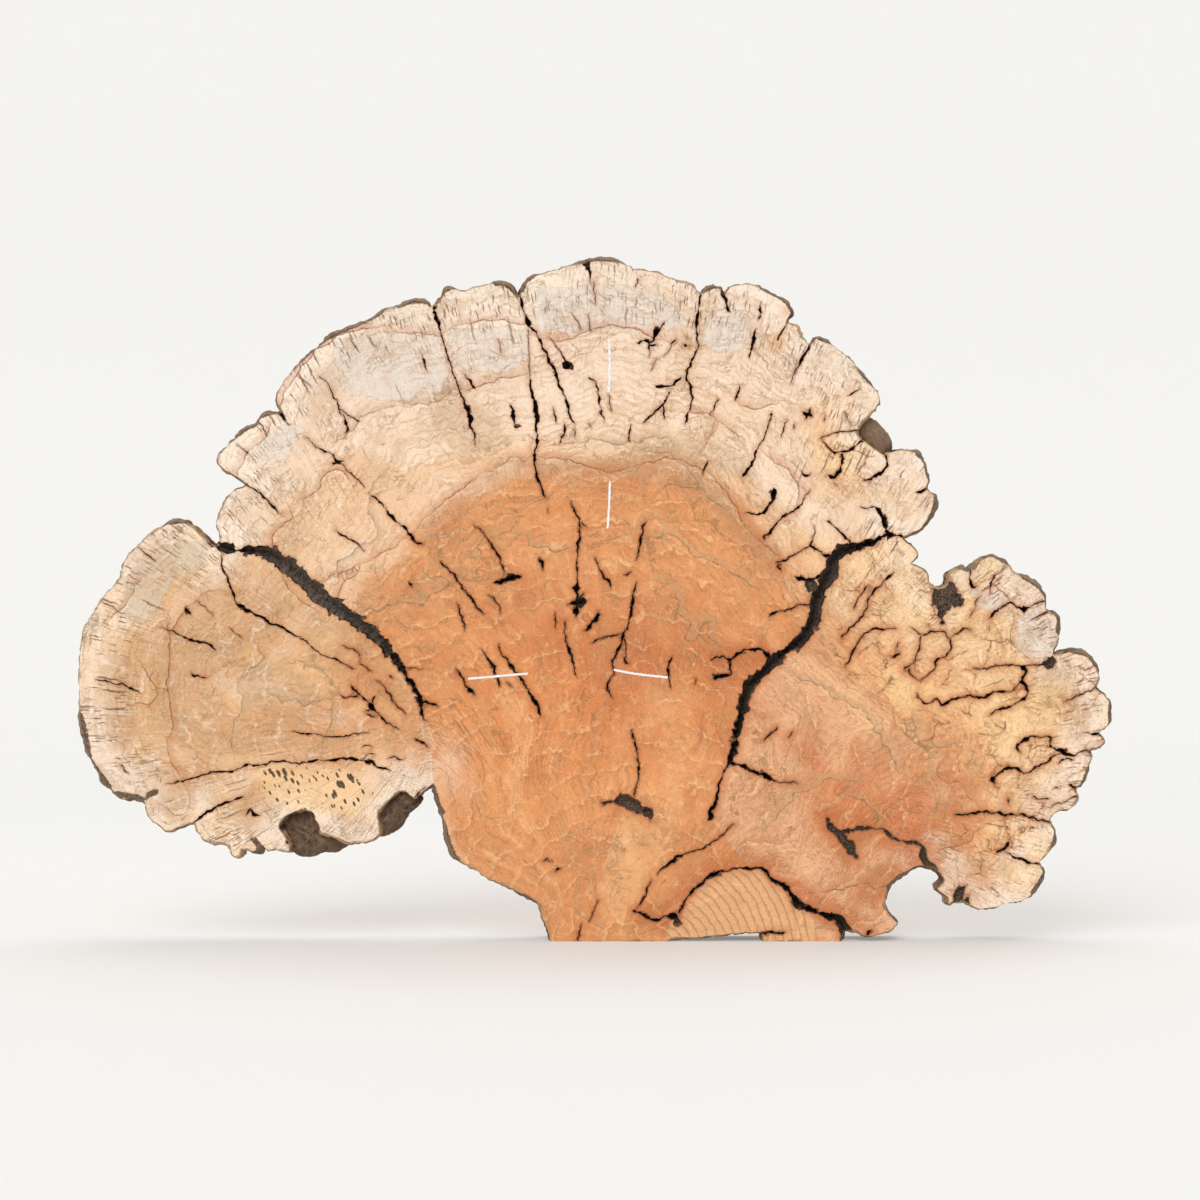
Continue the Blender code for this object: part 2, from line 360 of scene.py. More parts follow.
def faceOutline():
    lobes = [readPoints(text) for text in outline]
    points = []
    before = lobes[-1][-1]
    for lobe in lobes:
        points += curveThrough([before, *lobe], edge["step"])[1:]
        before = lobe[-1]
    points = np.array(points)
    along = unit(np.roll(points, -1, axis=0) - np.roll(points, 1, axis=0))
    outward = np.stack([-along[:, 1], along[:, 0]], axis=1)
    rough = np.array([wobble(x, z, 8, 3.1) + 0.7 * wobble(x, z, 21, 8.4) for x, z in points])
    points = points + outward * (edge["ragged"] * rough - edge["inset"])[:, None]
    points[:, 1] = np.maximum(points[:, 1], 0)
    keep = np.linalg.norm(points - np.roll(points, 1, axis=0), axis=1) > edge["closest"]
    return points[keep]


rim = faceOutline()
print("  ", len(rim), "points")

print("cracks")

crackShape = {
    "step": 3.4,
    "depthToWidth": 2.6,
    "deepest": 30,
    "slim": 0.6,  # narrow cracks keep this much of their read width
    "ragged": 1.0,  # of the width
    "wander": 2.7,
    "wide": 8,  # from this width on the groove has a floor of its own
    "pocketDeepest": 9,
    "pocketDepthToWidth": 0.9,
    "reach": 30,  # how far from a crack its halo is worked out
}

# Cracks along their middle as "x,z,width". The first group opens on both faces.
throughCracks = readPaths("""
-602,622,16 -590,618,12 -575,610,15 -555,606,10 -530,607,12 -510,603,14 -495,595,20 -475,582,22 -450,558
 -420,532,21 -400,518,20 -375,500,18 -352,483,16 -330,465 -315,445,13 -300,425,10 -288,405,9 -278,390,8
 -270,375 -268,352,6 -262,340,2
-578,600,3 -578,590,4 -575,575 -568,560 -563,545 -555,525 -548,520,6 -540,513 -528,508,4 -515,502,5 -505,493
 -495,490,6 -485,485,5 -470,478,4 -455,470 -440,458 -430,448,3 -400,436 -373,422,2
492,622,8 478,626,6 465,629,7 452,629,9 430,619,10 415,614,12 400,610,14 385,605,15 374,598,14 368,585,16
 366,572,18 358,560 350,545,16 345,530,18 342,515,16 340,500,18 332,485,16 325,472,18 312,462,16 300,452,14
 288,444,13 278,438,16 272,428,14 262,418 250,407 240,398 236,385 232,370 228,355,15 224,340,13 222,325,12
 218,310,10 214,295,9 210,282,10 204,270,5 198,258,4 193,243 190,230,6 188,218,8 182,207 178,200 180,192,10
 176,186,3
-256,1002,11 -249,992,9 -248,978,11 -244,962,8 -240,948,5 -236,936,3 -230,915 -224,895 -216,873,4 -209,852
 -203,838,5 -198,824,8 -193,810,9 -193,800,5 -187,788,4 -184,768,2
-119,1010,7 -118,1003 -113,992 -110,980 -107,967,6 -104,960,8 -100,952,5 -93,947,4 -88,938,5 -80,922,6
 -72,905 -63,885 -55,865 -48,845 -42,828,5 -36,812,4 -32,801,2
166,1012,5 164,1005,4 162,990 160,975 157,960,7 157,948,4 159,935 160,920 156,910 150,898,5 146,888,4
 141,877 145,867 149,855 150,843,3 148,828 144,813,5 140,800,3
392,0,16 387,20 378,35,12 365,38,9 350,44,8 335,50 320,54,11 310,65,9 300,77 292,88 282,93,8 272,100,7
 267,110,6 258,114,5 245,114 230,114,6 215,112,3 195,107,5 183,104,8 173,95,6 160,85,4 147,72,5 137,57,4
 130,42,8
""")

faceCracks = readPaths("""
-275,371,8 -262,371,6 -250,369,4 -242,364,2
-292,424,2 -280,424 -268,421,1
452,632,8 450,645,10 446,657,9 440,668 430,673,7 420,671,5 412,675,3
398,615,5 388,628,6 380,635 372,643 365,650,5 360,653,3
370,598,5 355,600 345,607,4 333,614,3 338,622 341,632,2 340,645,1.5
333,613,2 310,600 290,588,4 280,587
352,570,6 340,562 330,560 318,562,7 310,566,3
344,525,5 328,522,3 315,521 300,515,2.5 285,510,3 275,508,5 270,503,3
400,515,3 405,525,2 412,535 420,545,4 425,552
465,572,2 455,564,4 445,555,3 435,545,4 427,533 422,520,3 415,507 410,497 400,490 390,480,4 382,470
468,484,2 455,485,3 445,484,4 432,484 422,479,3 412,470,2 405,458,3 398,445,4 392,432,3 388,425,2
-672,488,1.5 -655,481,2 -640,473,3 -628,468,6 -615,464,5 -605,463,4 -595,459 -586,450,2
-775,406,2 -755,403,4 -745,399 -732,398,3 -720,393,5 -710,387,4 -705,383,2
-712,615,2 -700,605 -690,597,2.5 -680,588,1.5
-616,528,2 -605,520 -590,506,1
-634,520,3 -630,510,5 -627,505,2
-627,414,4 -620,412 -610,410,3 -600,408,2
-565,487,2 -555,477 -545,470,1
-735,275,3 -728,265 -721,260,2
-770,528,1.5 -755,521 -740,513,1
-665,244,1.5 -650,246,3 -635,249,4 -620,254 -605,257,5 -595,263 -580,264 -565,263,4 -550,268 -540,273,6
 -525,272,4 -510,275 -495,279 -480,279 -465,276 -450,277 -435,280,6 -420,281,4 -400,282,5 -385,283,6
 -368,282,7 -358,280 -345,276,5 -335,269,4 -325,267 -315,264,2
-362,283,3 -352,289 -340,290,2
-361,300,3 -352,304,5 -342,302,2
-319,282,3 -312,287 -305,284,4 -295,283,2
-626,180,5 -612,192 -600,200 -588,206 -575,212,4 -562,218,5 -550,222,4 -543,224,3
-543,193,3 -533,204,4 -527,198,9 -518,194,4
-470,326,2 -460,324,3 -445,322 -430,320 -415,317 -400,316 -385,318 -370,322 -350,323,1.5
-377,397,3 -370,388,5 -360,379 -350,370,7 -345,362,8 -338,356,4 -325,341,3 -312,334 -303,329,2
-347,365,3 -343,375 -339,380,2
-394,382,4 -385,378,3 -365,382
-357,357,4 -345,360,5
-355,353,3 -340,347
-392,458,1 -375,452,2 -366,448,3 -362,441,4
-364,430,3 -355,425,2.5 -345,418,1.5
-338,405,1 -325,392,2 -315,378,3 -308,367 -298,358 -292,351,2
-319,411,4 -313,409,3
-279,315,3 -268,309,4 -257,302,2
-349,693,3 -338,686,4 -328,676 -318,663,5 -305,650 -292,638,6 -283,625 -278,619 -266,615,2
-400,637,3 -392,630,4 -378,621,3 -365,613,4 -354,605,2
-240,589,2 -232,580,4 -222,572 -212,560,5 -203,545 -193,535 -185,521 -178,512,4 -172,506,2
-188,645,1 -175,636,3 -166,623,4 -158,612 -150,598 -143,583,5 -140,570,4
-157,555,8 -145,556,10 -135,563 -125,565,9 -113,566,7
-214,524,1 -207,508,4 -204,498 -200,482,2
-164,538,2 -152,527,3 -148,518 -147,508,1
-288,558,2 -283,550,5
-86,596,1.5 -81,585,6 -79,575,3
-176,452,2 -167,441,4 -160,432,5 -155,418,6 -150,405,7 -147,394,4
-150,460,4 -146,450 -140,441 -130,428,6 -120,415,4 -112,402 -103,390 -97,378,6 -90,368,8 -85,355,6 -83,349,3
-215,423,2 -207,412,4 -200,398 -192,388,7 -185,383,3
-136,402,3 -128,394,2
-100,873,3 -98,855,5 -94,840,6 -91,825,8 -89,810 -91,795,6 -89,780 -91,765 -93,750 -92,735,5 -89,720 -85,706
 -80,694,4 -75,687,2
-268,908,2 -264,897,5 -260,883,3
-203,880,2 -195,870,5 -190,862,3 -184,857,4
-132,832,3 -128,824,4 -126,812,6 -123,800,3 -122,794,8
-150,934,1 -147,920,2.5 -146,912,1
-380,934,1 -372,925,2 -365,913,1.5
-352,937,1 -345,928,1.5 -338,921,1
-428,876,2 -415,865,2.5 -408,851,2 -400,836,3 -397,826,4 -390,812,3 -382,796,5 -386,785,3
-397,826,2.5 -385,818 -375,811,3 -364,805,2
-450,783,1 -440,775,1.5 -428,765,3 -418,759,4 -408,755 -402,747,5 -398,742,6 -388,744,3
-408,741,3 -395,740,4 -385,732,3 -372,720,2 -355,703,1.5
-495,824,6 -490,822 -484,812 -478,805,4 -472,799,1.5
-521,806,2 -512,790,3 -508,782
-556,770,1 -545,763,2 -537,755,2.5
-546,711,4 -530,702,3 -515,692,4 -505,682 -497,672,5 -488,662,1.5
-460,876,1.5 -450,868,2 -440,857,1
-104,950,1.5 -103,930 -101,890 -100,873
135,875,4 130,870,5 120,862,3 108,861,4 100,860,8 93,861,3
118,853,3 112,843,4 106,832,5 97,825 88,815,4 75,802,2
106,835,3 107,820,4 107,808,2
199,1010,7 203,995 207,982,5 211,975
108,961,2 100,950,8 95,942,9 90,932,5 86,926 98,924,3
65,926,3 75,930,9 85,927,5 84,915,2 84,905,1
141,937,5 145,935
137,924,8 144,924,9
125,934,2 120,925,3 115,915 108,905,1
-70,938,1 -60,922,2 -50,907,2.5 -45,900,3 -41,893,13 -38,888,8
-10,876,2 -2,870,2.5 3,860,3 7,848 6,840,4 9,828,3 12,815 14,808,2
-1,1022,1.5 0,1005,2 1,985,1
-13,1056,10 -12,1050 -8,1040,7 -7,1028,3 -6,1018,1
67,1028,2 63,1012,2.5
-35,975,1 -28,962,2 -21,948,3
-11,972,1 -8,960,1.5 -6,945,1
-66,828,2.5 -62,817,4 -60,803
-49,802,2 -46,790,7 -52,778,4 -54,770,2
-30,794,1.5 -29,785,2 -31,778,1
-10,804,2 -5,795
21,848,1 24,835,2 28,820,1.5
57,802,3 54,790,4 53,780 52,775,3
95,905,1 90,890,1.5 86,884,1
175,747,2 171,735,5 167,722,2
193,841,1.5 186,828,2.5 180,815,1.5
225,862,2 221,850,4 219,841,5 216,836,2
274,820,5 272,810,4 268,797,3 262,782 256,771 250,758,4 248,748,6 240,735,5 234,725,9 228,720,4
257,985,4 256,978 257,968,7 254,962,3
303,964,3 298,958 293,948,5 287,938,3 283,930,5
250,950,4 247,935,8 243,918,5 240,903,3
337,931,4 330,918,6 324,905,5 318,895 312,885,3 305,873,2.5 302,863,1
412,857,1 400,850,3 392,845,4
322,821,3 330,817,8 338,812,3
326,809,2 330,817,5 335,826,3
358,812,3 356,805,2
309,803,3 309,793,4
299,808,1.5 293,795,2.5 289,780,1.5
348,778,2 362,784,2.5 378,789,3 395,791 408,790 415,795,5 420,805,8
350,777,1.5 358,770,2.5 367,762,4 372,757,9 380,758,6 390,760,5 400,765 408,770,4 418,776,5
385,757,6 383,748,5 382,738,4 380,728,5 375,722,7 368,718,8 360,722,4
371,709,5 375,707,4
467,768,4 448,756,5 452,748,4 454,738,3 450,730,5 442,725,7 435,721,6 425,716,4 418,711,2
497,695,3 505,697,5 520,705,4
318,728,1.5 325,722,5 335,726,2
506,475,6 515,477,3 525,479 535,481 543,478 549,468 553,458,4 548,448,3 540,440,2.5 530,435,4 527,425
 520,418 512,410,3 505,403,1
506,475,3 504,462,2.5 502,450,3 498,440,2.5 493,430,2 487,427,4 480,420
487,424,3 490,412,2 500,405,1.5
506,475,2 498,481 490,486,1.5
500,385,1.5 508,370,4 518,370,2 530,374,3 540,365,5 548,373,6 560,376,5 570,378,4 580,381,5 592,378,4
 603,378,6 612,382,4 625,387,5 640,386,3 650,390 655,398 660,405,6
655,428,3 665,425,10 667,415,8 663,405,6 668,395 672,385,8 668,378,5 655,370,4 640,364 625,360,3.5 612,351,2
585,423,4 600,422,3 615,425,2.5 632,428 650,428,3 685,428,2.5 700,430,6
783,393,2.5 765,388 752,383,3 742,378,2 728,370,1.5
704,531,2.5 688,525,3 677,521 665,515,10 655,518,3 648,524,4 637,522,3 627,515 618,508,5 612,500
706,512,2.5 690,506,3 680,500
580,580,6 582,565,4 583,555,5 585,548,7 593,550,3
622,569,2.5 617,560 612,552,4 611,546,2
597,535,2 593,528,3 590,520,1.5
580,503,4 587,512,3
555,475,5 565,480 575,485 582,482,2
472,463,3 466,455,2
473,448,3 467,440,4 460,438,2
557,195,4 562,197,6 575,196,4 588,199,5 600,201 615,200,4 630,198,5 645,196 660,197,4 672,193 685,189,5
 697,187 710,185,4
622,245,4 617,250,8 620,255 628,262,5 638,268,6 650,268,4 660,264 668,260,5 680,267 692,273 702,279,4
 712,287,3 718,289,2
660,293,3 653,300,7 658,307 668,313,9 675,318,5 690,316,3 703,317 706,310,5 707,302,8 715,297,4 725,293,9
 735,290,8 742,288,5 748,293,3 758,296 772,294,2
718,275,6 725,281,5 735,283,4 742,281,3
757,325,5 765,323,4 775,322,5 789,321,3
735,245,7 740,240,5 752,236,3
710,237,3 720,237,4
678,223,2.5 690,221,3.5 705,221,2
641,222,5 642,214,3
753,226,3 735,220,2 722,216,1.5 705,208,1
643,155,4 638,147,5 630,143,6 624,135,4
635,140,4 645,133 655,129,6 668,125,5 680,121 695,120,3
58,47,5 70,43,6 83,37,8 97,34,5 110,38 120,38,9 130,37,12
68,55,3 72,62 78,72,4 84,85,2 88,95,1
97,103,3 105,112,4 115,122,6 125,128,5 137,133,4 150,139,3.5 165,144 178,150,4 190,159,3 203,170 215,182,2
210,278,6 225,272,7 240,267,6 255,260,7 270,253,8 285,247,3 300,247 314,245,2
283,332,3 272,320,3.5 262,309,2
300,316,2 307,325
58,330,5 62,315,4 63,300,3 67,285,4 69,272,5 68,260,4 66,245,3 63,232 62,222,5
-80,125,3 -73,128,7 -66,124,3
-61,110,4 -53,113,3
-25,0,3 -22,20 -21,28,1.5
-8,30,2 -3,45 5,65,1
258,12,5 275,13 295,13,4
422,8,5 430,17
-37,682,3 -33,670,4 -27,658 -23,648,3 -24,630,5 -26,610,4 -27,590,3 -26,575,6 -27,560,4 -29,548,10 -28,538,5
 -28,510,8 -29,502,3
-42,523,4 -34,525,12 -22,525,15 -12,527,4
-24,530,8 -16,540,3
-23,648,3 -13,643,2
80,650,2 74,643,5 73,630 70,618 67,605,4 65,591,2
0,595,3 5,583 10,572 15,562,4 22,558,5 26,548,3
45,568,3 51,568,7 57,573,2
65,557,3 62,543,4 59,530,6 58,518 55,503,5 50,488,4 45,476,6 42,463,4 36,450,5 31,440 28,428,4 30,418,3
 25,408 20,398,6 18,392 25,385 28,378,3
43,478,2.5 30,475,3 15,471 2,466 -6,462,2
45,470,3 48,458 49,445 48,435,4 53,430,2
5,510,7 3,500,8 -5,492,6 -10,484,9 -16,482,3
-61,510,1.5 -60,498,4 -60,485,2
-46,497,2 -46,482,2.5 -44,465,4 -41,455,6 -36,443,7 -33,430,6 -30,418,5 -27,411,2
120,441,5 115,430,4 114,420,6 116,405,2.5 117,392,2
157,408,3 156,399
178,436,2 190,440,3 200,441 210,435,5 220,445,6 232,451 245,453 258,452 266,446,8 272,438,10
210,433,5 211,422,4 209,413,5 200,412,9 190,408,10 183,407,5
277,703,5 278,693,8 276,683 270,675,5 262,665,7 255,662 245,661,3 233,665,2
335,700,1 325,688,2.5 318,675,4 305,665,3 300,662,4 290,655,5 280,645 272,635 265,628 262,622
282,585,6 290,575,4
-73,670,3 -71,666,2
""")

# Pockets where the bark has grown into the wood: wider, shallower and brown inside
barkPockets = readPaths("""
333,562,8 335,550,22 330,541,6
360,193,3 363,183,7 370,173,14 382,162 392,150,12 402,138,11 408,128,6
378,165,8 390,172,9 400,173,10 415,175,8 430,174,5 443,175,4 455,168,6 462,161 475,157,5 488,153,6 500,152
 508,145,8 510,130,14 515,120,12 530,112,8
10,214,6 25,216,8 40,218,14 55,214,18 65,208,14 75,200,8 85,200,16 88,188,6
540,560,22 541,545,30 540,530,34 538,512,18 537,490,6
550,534,18 562,527,20 572,524,8
574,88,5 566,78,12 562,64,18 553,55,14 543,56,8
580,48,4 574,60,12 580,70,6
-482,186,6 -477,170,10 -474,150,8
-279,222,6 -270,232 -262,240,4
700,436,10 705,430,22 711,424,10
""")


def crackSections(path, seed):
    # points along the crack with its width there, a little ragged
    run = curveThrough(path, crackShape["step"])
    middle = []
    for i, (x, z, width) in enumerate(run):
        side = crackShape["wander"] * (wobble(x, z, 9, seed) + 0.8 * wobble(x, z, 4, seed + 2))
        before = run[max(i - 1, 0)]
        after = run[min(i + 1, len(run) - 1)]
        along = unit(np.array([after[0] - before[0], after[1] - before[1]]))
        across = np.array([-along[1], along[0]])
        width *= crackShape["slim"] + (1 - crackShape["slim"]) * min(1, max(0, width - 7) / 8)
        ragged = crackShape["ragged"] * min(1, 8 / width)
        width *= 1 + ragged * (wobble(x, z, 11, seed + 5) + wobble(x, z, 4, seed + 9))
        middle.append((x + across[0] * side, z + across[1] * side, max(width, 0.9), across))
    return middle


openCracks = [crackSections(path, 1 + 0.37 * i) for i, path in enumerate(throughCracks + faceCracks)]
pockets = [crackSections(path, 90 + 0.37 * i) for i, path in enumerate(barkPockets)]
print("  ", len(openCracks), "cracks,", len(pockets), "bark pockets")

print("lines and patches")

# Brown lines where the growth changed, and the grey wandering lines of old fungus
brownLines = readPaths("""
-236,938 -232,947 -212,953 -180,960 -145,963 -120,956 -107,957
-300,942 -265,943 -238,938
-552,722 -550,733 -545,743 -528,766 -508,783 -502,800
-565,544 -585,545 -600,541 -612,534 -632,515 -643,503 -654,483
-500,600 -497,630 -480,648 -470,657 -472,668
-450,683 -430,700 -425,712 -410,728 -400,733 -390,728 -380,717
-445,560 -425,556 -400,570 -365,583 -335,598 -305,615 -293,623 -278,618
-397,528 -395,540 -388,555 -365,577
-278,620 -278,635 -262,655 -240,675 -225,690 -200,703 -180,722 -150,736 -122,752 -107,743 -98,760
-748,502 -735,512 -725,525 -707,558
-697,420 -682,395 -678,382 -690,370 -710,368
-600,408 -588,416 -572,428
150,820 180,815 200,801 215,790
170,770 190,795
215,840 228,828 245,823 275,832
222,665 232,643 255,622 283,600
270,750 300,730 316,700 314,675 300,662
355,78 395,84 425,90 435,82 455,88
545,290 530,262 545,246 567,245 578,225 598,205
540,143 575,152 590,168 597,178 640,190
650,500 645,465 670,440
-490,823 -486,835 -480,850 -470,865 -460,880 -450,893 -440,905 -432,918 -415,925 -400,937 -378,945 -350,951
-663,400 -655,330 -663,300 -645,260 -632,235 -628,210 -645,195 -668,212
-663,490 -658,440 -663,400
-488,592 -484,563 -470,540 -440,520
-209,849 -186,857 -149,871 -113,876
-90,935 -46,931 -2,949 42,953 87,938 124,924
-98,752 -60,748 -23,741 20,728 70,740 120,748 160,735 200,702 222,670
""")
greyLines = readPaths("""
-345,690 -352,680 -343,658 -340,645 -337,628 -362,615 -375,600 -400,583
-360,510 -325,515 -300,528 -275,520 -250,538 -228,548 -225,560 -255,566
-225,575 -205,565 -185,582 -175,600 -180,612 -160,630 -145,605 -130,618 -110,632 -92,612 -65,607 -45,607
95,757 120,750 140,735 160,710 175,690
95,558 122,550 128,510 150,490 145,465 180,500 175,470 190,460
75,650 95,655 105,645 104,620
275,185 300,215 330,232 365,250 405,250
398,222 420,212 440,185
310,410 345,397 372,380 400,366 420,350 440,315 463,275
480,340 495,308 530,298 560,305
-520,455 -515,435 -535,420 -555,405 -548,380 -558,340 -565,300
-496,378 -450,368 -406,372 -410,340 -418,305
81,622 124,625 152,600 190,585 222,566 250,544
109,707 166,699 180,685 209,665
-386,777 -357,812 -319,828 -231,842 -223,865
-46,769 -2,777 36,769 71,777 109,780 124,769
490,350 499,312 519,282 504,254
""")

# Where bark still sits on the rim
barkStretches = readPaths("""
-568,776 -555,785 -540,796 -525,803
-517,815 -505,820 -497,822
-455,902 -430,928 -395,946 -357,962
-348,966 -328,979
-303,986 -280,994 -262,992
-243,1000 -236,1008 -225,1013
-152,1020 -139,1021 -122,1006
-112,1010 -108,1024 -93,1034
-26,1053 2,1059 35,1057
170,1010 185,1017 200,1014
262,1012 285,1001 300,990 307,976
345,938 362,931
414,883 428,866
500,757 514,744 518,722
530,692 528,670 515,645
571,578 588,580
622,598 637,590
665,566 690,551 697,540
712,513 721,500 719,480
745,450 766,445 781,425
800,365 800,340
766,265 757,242
716,166 712,150
698,104 690,90 680,76
525,112 500,112 470,98 455,84
-798,350 -790,325 -783,281
-783,281 -767,258 -752,240
-740,228 -700,222 -680,232
-680,652 -660,650 -640,652
-530,160 -518,146 -522,138
-251,240 -244,214 -236,200
-235,183 -226,150 -217,130
-110,70 -95,60
""")

lineShape = {
    "step": 3.6,
    "brownWiggle": 4.0,
    "greyWiggle": 8.0,
}


def wigglyRuns(lines, wiggle):
    runs = []
    for line in lines:
        run = []
        for x, z in curveThrough(line, lineShape["step"]):
            right = wiggle * (wobble(x, z, 17, 6) + 0.5 * wobble(x, z, 7, 16))
            up = wiggle * (wobble(x, z, 17, 7) + 0.5 * wobble(x, z, 7, 17))
            run.append((x + right, z + up))
        runs.append(run)
    return runs


brownRuns = wigglyRuns(brownLines, lineShape["brownWiggle"])
greyRuns = wigglyRuns(greyLines, lineShape["greyWiggle"])

# Patches of colour as closed outlines, each group with how softly it fades in millimetres
patches = {
    "heart": (44, [
        "-300,600 -235,675 -120,730 0,735 130,738 220,690 300,600 350,500 450,470 560,430 620,330 640,200 "
        "600,40 400,-80 -90,-80 -140,40 -235,130 -275,240 -330,330 -400,400 -400,480",
    ]),
    "deep": (75, [
        "-190,480 -60,540 120,540 270,480 240,380 230,290 150,240 -20,250 -150,250 -200,300 -210,380",
        "330,170 520,110 570,220 440,300 330,300",
    ]),
    "rust": (17, [
        "50,62 84,56 115,60 135,95 180,128 228,138 272,132 305,108 345,72 405,52 420,20 380,14 330,40 "
        "290,76 262,98 200,100 150,62 128,20 60,22",
        "345,200 372,204 400,196 440,196 500,172 545,140 530,96 500,112 470,142 420,156 392,140 415,118 "
        "398,104 372,140 350,172",
        "20,190 40,232 60,236 92,210 88,180 60,196",
        "400,62 430,58 472,76 484,112 450,126 420,104",
        "176,440 210,458 262,466 290,440 262,430 214,428 214,400 176,398",
    ]),
    "glow": (60, [
        "-250,300 -215,520 -80,440 60,300 150,430 195,320 110,190 -150,170",
    ]),
    "brownBand": (15, [
        "-278,620 -240,672 -180,722 -120,750 0,745 120,748 200,705 260,630 300,590 280,560 235,610 "
        "180,675 110,715 0,718 -110,724 -165,700 -215,652 -250,600",
    ]),
    "leftWarm": (70, [
        "-560,330 -520,470 -300,420 -250,340 -260,260 -330,220 -450,250",
    ]),
    "leftLobe": (26, [
        "-600,612 -520,604 -470,580 -400,518 -330,462 -280,392 -255,330 -250,235 -330,120 -620,90 "
        "-850,180 -850,500 -760,600 -650,690",
    ]),
    "rightLobes": (40, [
        "300,640 380,620 470,640 480,720 540,720 560,560 620,640 720,600 850,420 820,250 760,60 600,20 "
        "520,60 560,230 480,330 380,380 330,500",
        "330,820 470,880 480,700 350,690",
    ]),
    "grey": (15, [
        "-90,1005 -20,1015 30,1015 100,995 145,958 110,948 70,943 20,960 -20,945 -85,945 -98,975",
        "-230,925 -225,945 -175,954 -130,958 -110,950 -105,905 -150,885 -215,890",
        "-400,930 -350,940 -300,941 -245,935 -225,875 -240,850 -330,840 -380,850 -405,905",
        "-535,745 -515,775 -480,800 -455,795 -480,745",
        "205,980 232,968 238,940 220,914 190,914 172,935 178,966",
        "-740,510 -720,560 -690,600 -640,620 -600,615 -600,585 -650,570 -680,510 -700,490",
        "655,500 690,520 725,500 722,460 690,440 655,455",
        "585,545 620,550 645,530 640,510 600,515",
    ]),
    "olive": (16, [
        "-770,430 -735,440 -715,400 -710,350 -715,310 -750,300 -765,350",
        "-690,210 -655,245 -620,212 -655,180",
        "-730,245 -690,262 -660,260 -690,240",
        "690,420 720,425 750,400 770,350 760,320 720,350 690,370",
        "560,130 600,125 640,130 660,120 640,95 600,110",
        "-560,430 -480,440 -430,400 -420,340 -480,330 -545,360",
        "150,780 230,760 260,700 200,720 120,745 30,745 40,770",
        "-250,870 -160,830 -120,770 -200,740 -260,790",
    ]),
    "ochre": (9, [
        "285,985 303,988 306,970 292,966",
        "300,955 318,950 314,936 300,938",
        "398,888 416,884 414,872 400,872",
        "262,940 300,955 298,915 268,905",
    ]),
    "rightSide": (20, [
        "492,622 430,619 366,580 340,500 278,438 236,390 222,325 204,270 180,192 240,110 300,70 330,40 "
        "370,-40 900,-40 900,700 560,760 540,700",
    ]),
    "warmCrown": (26, [
        "-570,570 -510,640 -430,715 -385,765 -300,735 -200,760 -110,778 0,768 120,768 225,722 330,640 "
        "350,560 250,560 0,640 -280,480 -420,510",
    ]),
    "pits": (14, [
        "-530,265 -450,272 -380,265 -345,230 -370,195 -420,205 -470,205 -510,225",
    ]),
    "fan": (9, [
        "120,34 132,40 160,82 186,106 230,113 262,112 285,92 312,62 335,48 345,20 330,-30 100,-30",
    ]),
    "crown": (50, [
        "-500,900 -300,1080 0,1120 330,1060 420,900 330,850 150,880 0,860 -200,850 -420,800",
    ]),
}


def nearestOnPath(points, path, closed=False):
    # distance to the path, how far along it the nearest place lies, and on which side of it the point is
    path = np.asarray(path, float)
    if closed:
        path = np.vstack([path, path[:1]])
    best = np.full(len(points), 1e9)
    where = np.zeros(len(points))
    side = np.ones(len(points))
    travelled = 0.0
    for start, end in zip(path, path[1:]):
        span = end - start
        length2 = max(float(span @ span), 1e-9)
        reach = points - start
        t = np.clip(reach @ span / length2, 0, 1)
        away = np.linalg.norm(reach - t[:, None] * span, axis=1)
        closer = away < best
        best[closer] = away[closer]
        where[closer] = travelled + t[closer] * math.sqrt(length2)
        side[closer] = np.where(span[0] * reach[closer, 1] > span[1] * reach[closer, 0], 1.0, -1.0)
        travelled += math.sqrt(length2)
    return best, where, side


def insidePolygon(points, polygon):
    inside = np.zeros(len(points), bool)
    for (x0, z0), (x1, z1) in zip(polygon, np.roll(polygon, -1, axis=0)):
        if z0 == z1:
            continue
        crosses = (z0 > points[:, 1]) != (z1 > points[:, 1])
        inside ^= crosses & (points[:, 0] < (x1 - x0) * (points[:, 1] - z0) / (z1 - z0) + x0)
    return inside


def near(points, path, reach):
    path = np.asarray([place[:2] for place in path], float)
    low, high = path.min(axis=0) - reach, path.max(axis=0) + reach
    return np.nonzero(((points > low) & (points < high)).all(axis=1))[0]


def crackField(points, sections, pocket):
    # per point: how deep the groove is there, how far outside its lips the point lies,
    # and the groove's width
    depth = np.zeros(len(points))
    outside = np.full(len(points), float(crackShape["reach"]))
    gape = np.zeros(len(points))
    for section in sections:
        chosen = near(points, section, crackShape["reach"])
        if not len(chosen):
            continue
        places = np.array([place[:2] for place in section])
        widths = np.array([place[2] for place in section])
        travelled = np.concatenate([[0], np.cumsum(np.linalg.norm(np.diff(places, axis=0), axis=1))])
        away, where, _ = nearestOnPath(points[chosen], places)
        width = np.interp(where, travelled, widths)
        tip = np.clip(np.minimum(where, travelled[-1] - where) / crackShape["step"], 0, 1)
        share = np.clip(1 - 2 * away / width, 0, 1) * tip
        if pocket:
            deep = np.minimum(crackShape["pocketDeepest"], crackShape["pocketDepthToWidth"] * width)
            deep = deep * (1 - (1 - share) ** 3)
        else:
            deep = np.minimum(crackShape["deepest"], crackShape["depthToWidth"] * width)
            deep = deep * (1 - (1 - share) ** 2)
            gape[chosen] = np.where(share > 0, np.maximum(gape[chosen], width), gape[chosen])
        depth[chosen] = np.maximum(depth[chosen], deep)
        outside[chosen] = np.minimum(outside[chosen], np.maximum(away - width / 2, 0))
    return depth, outside, gape


print("sawn face")

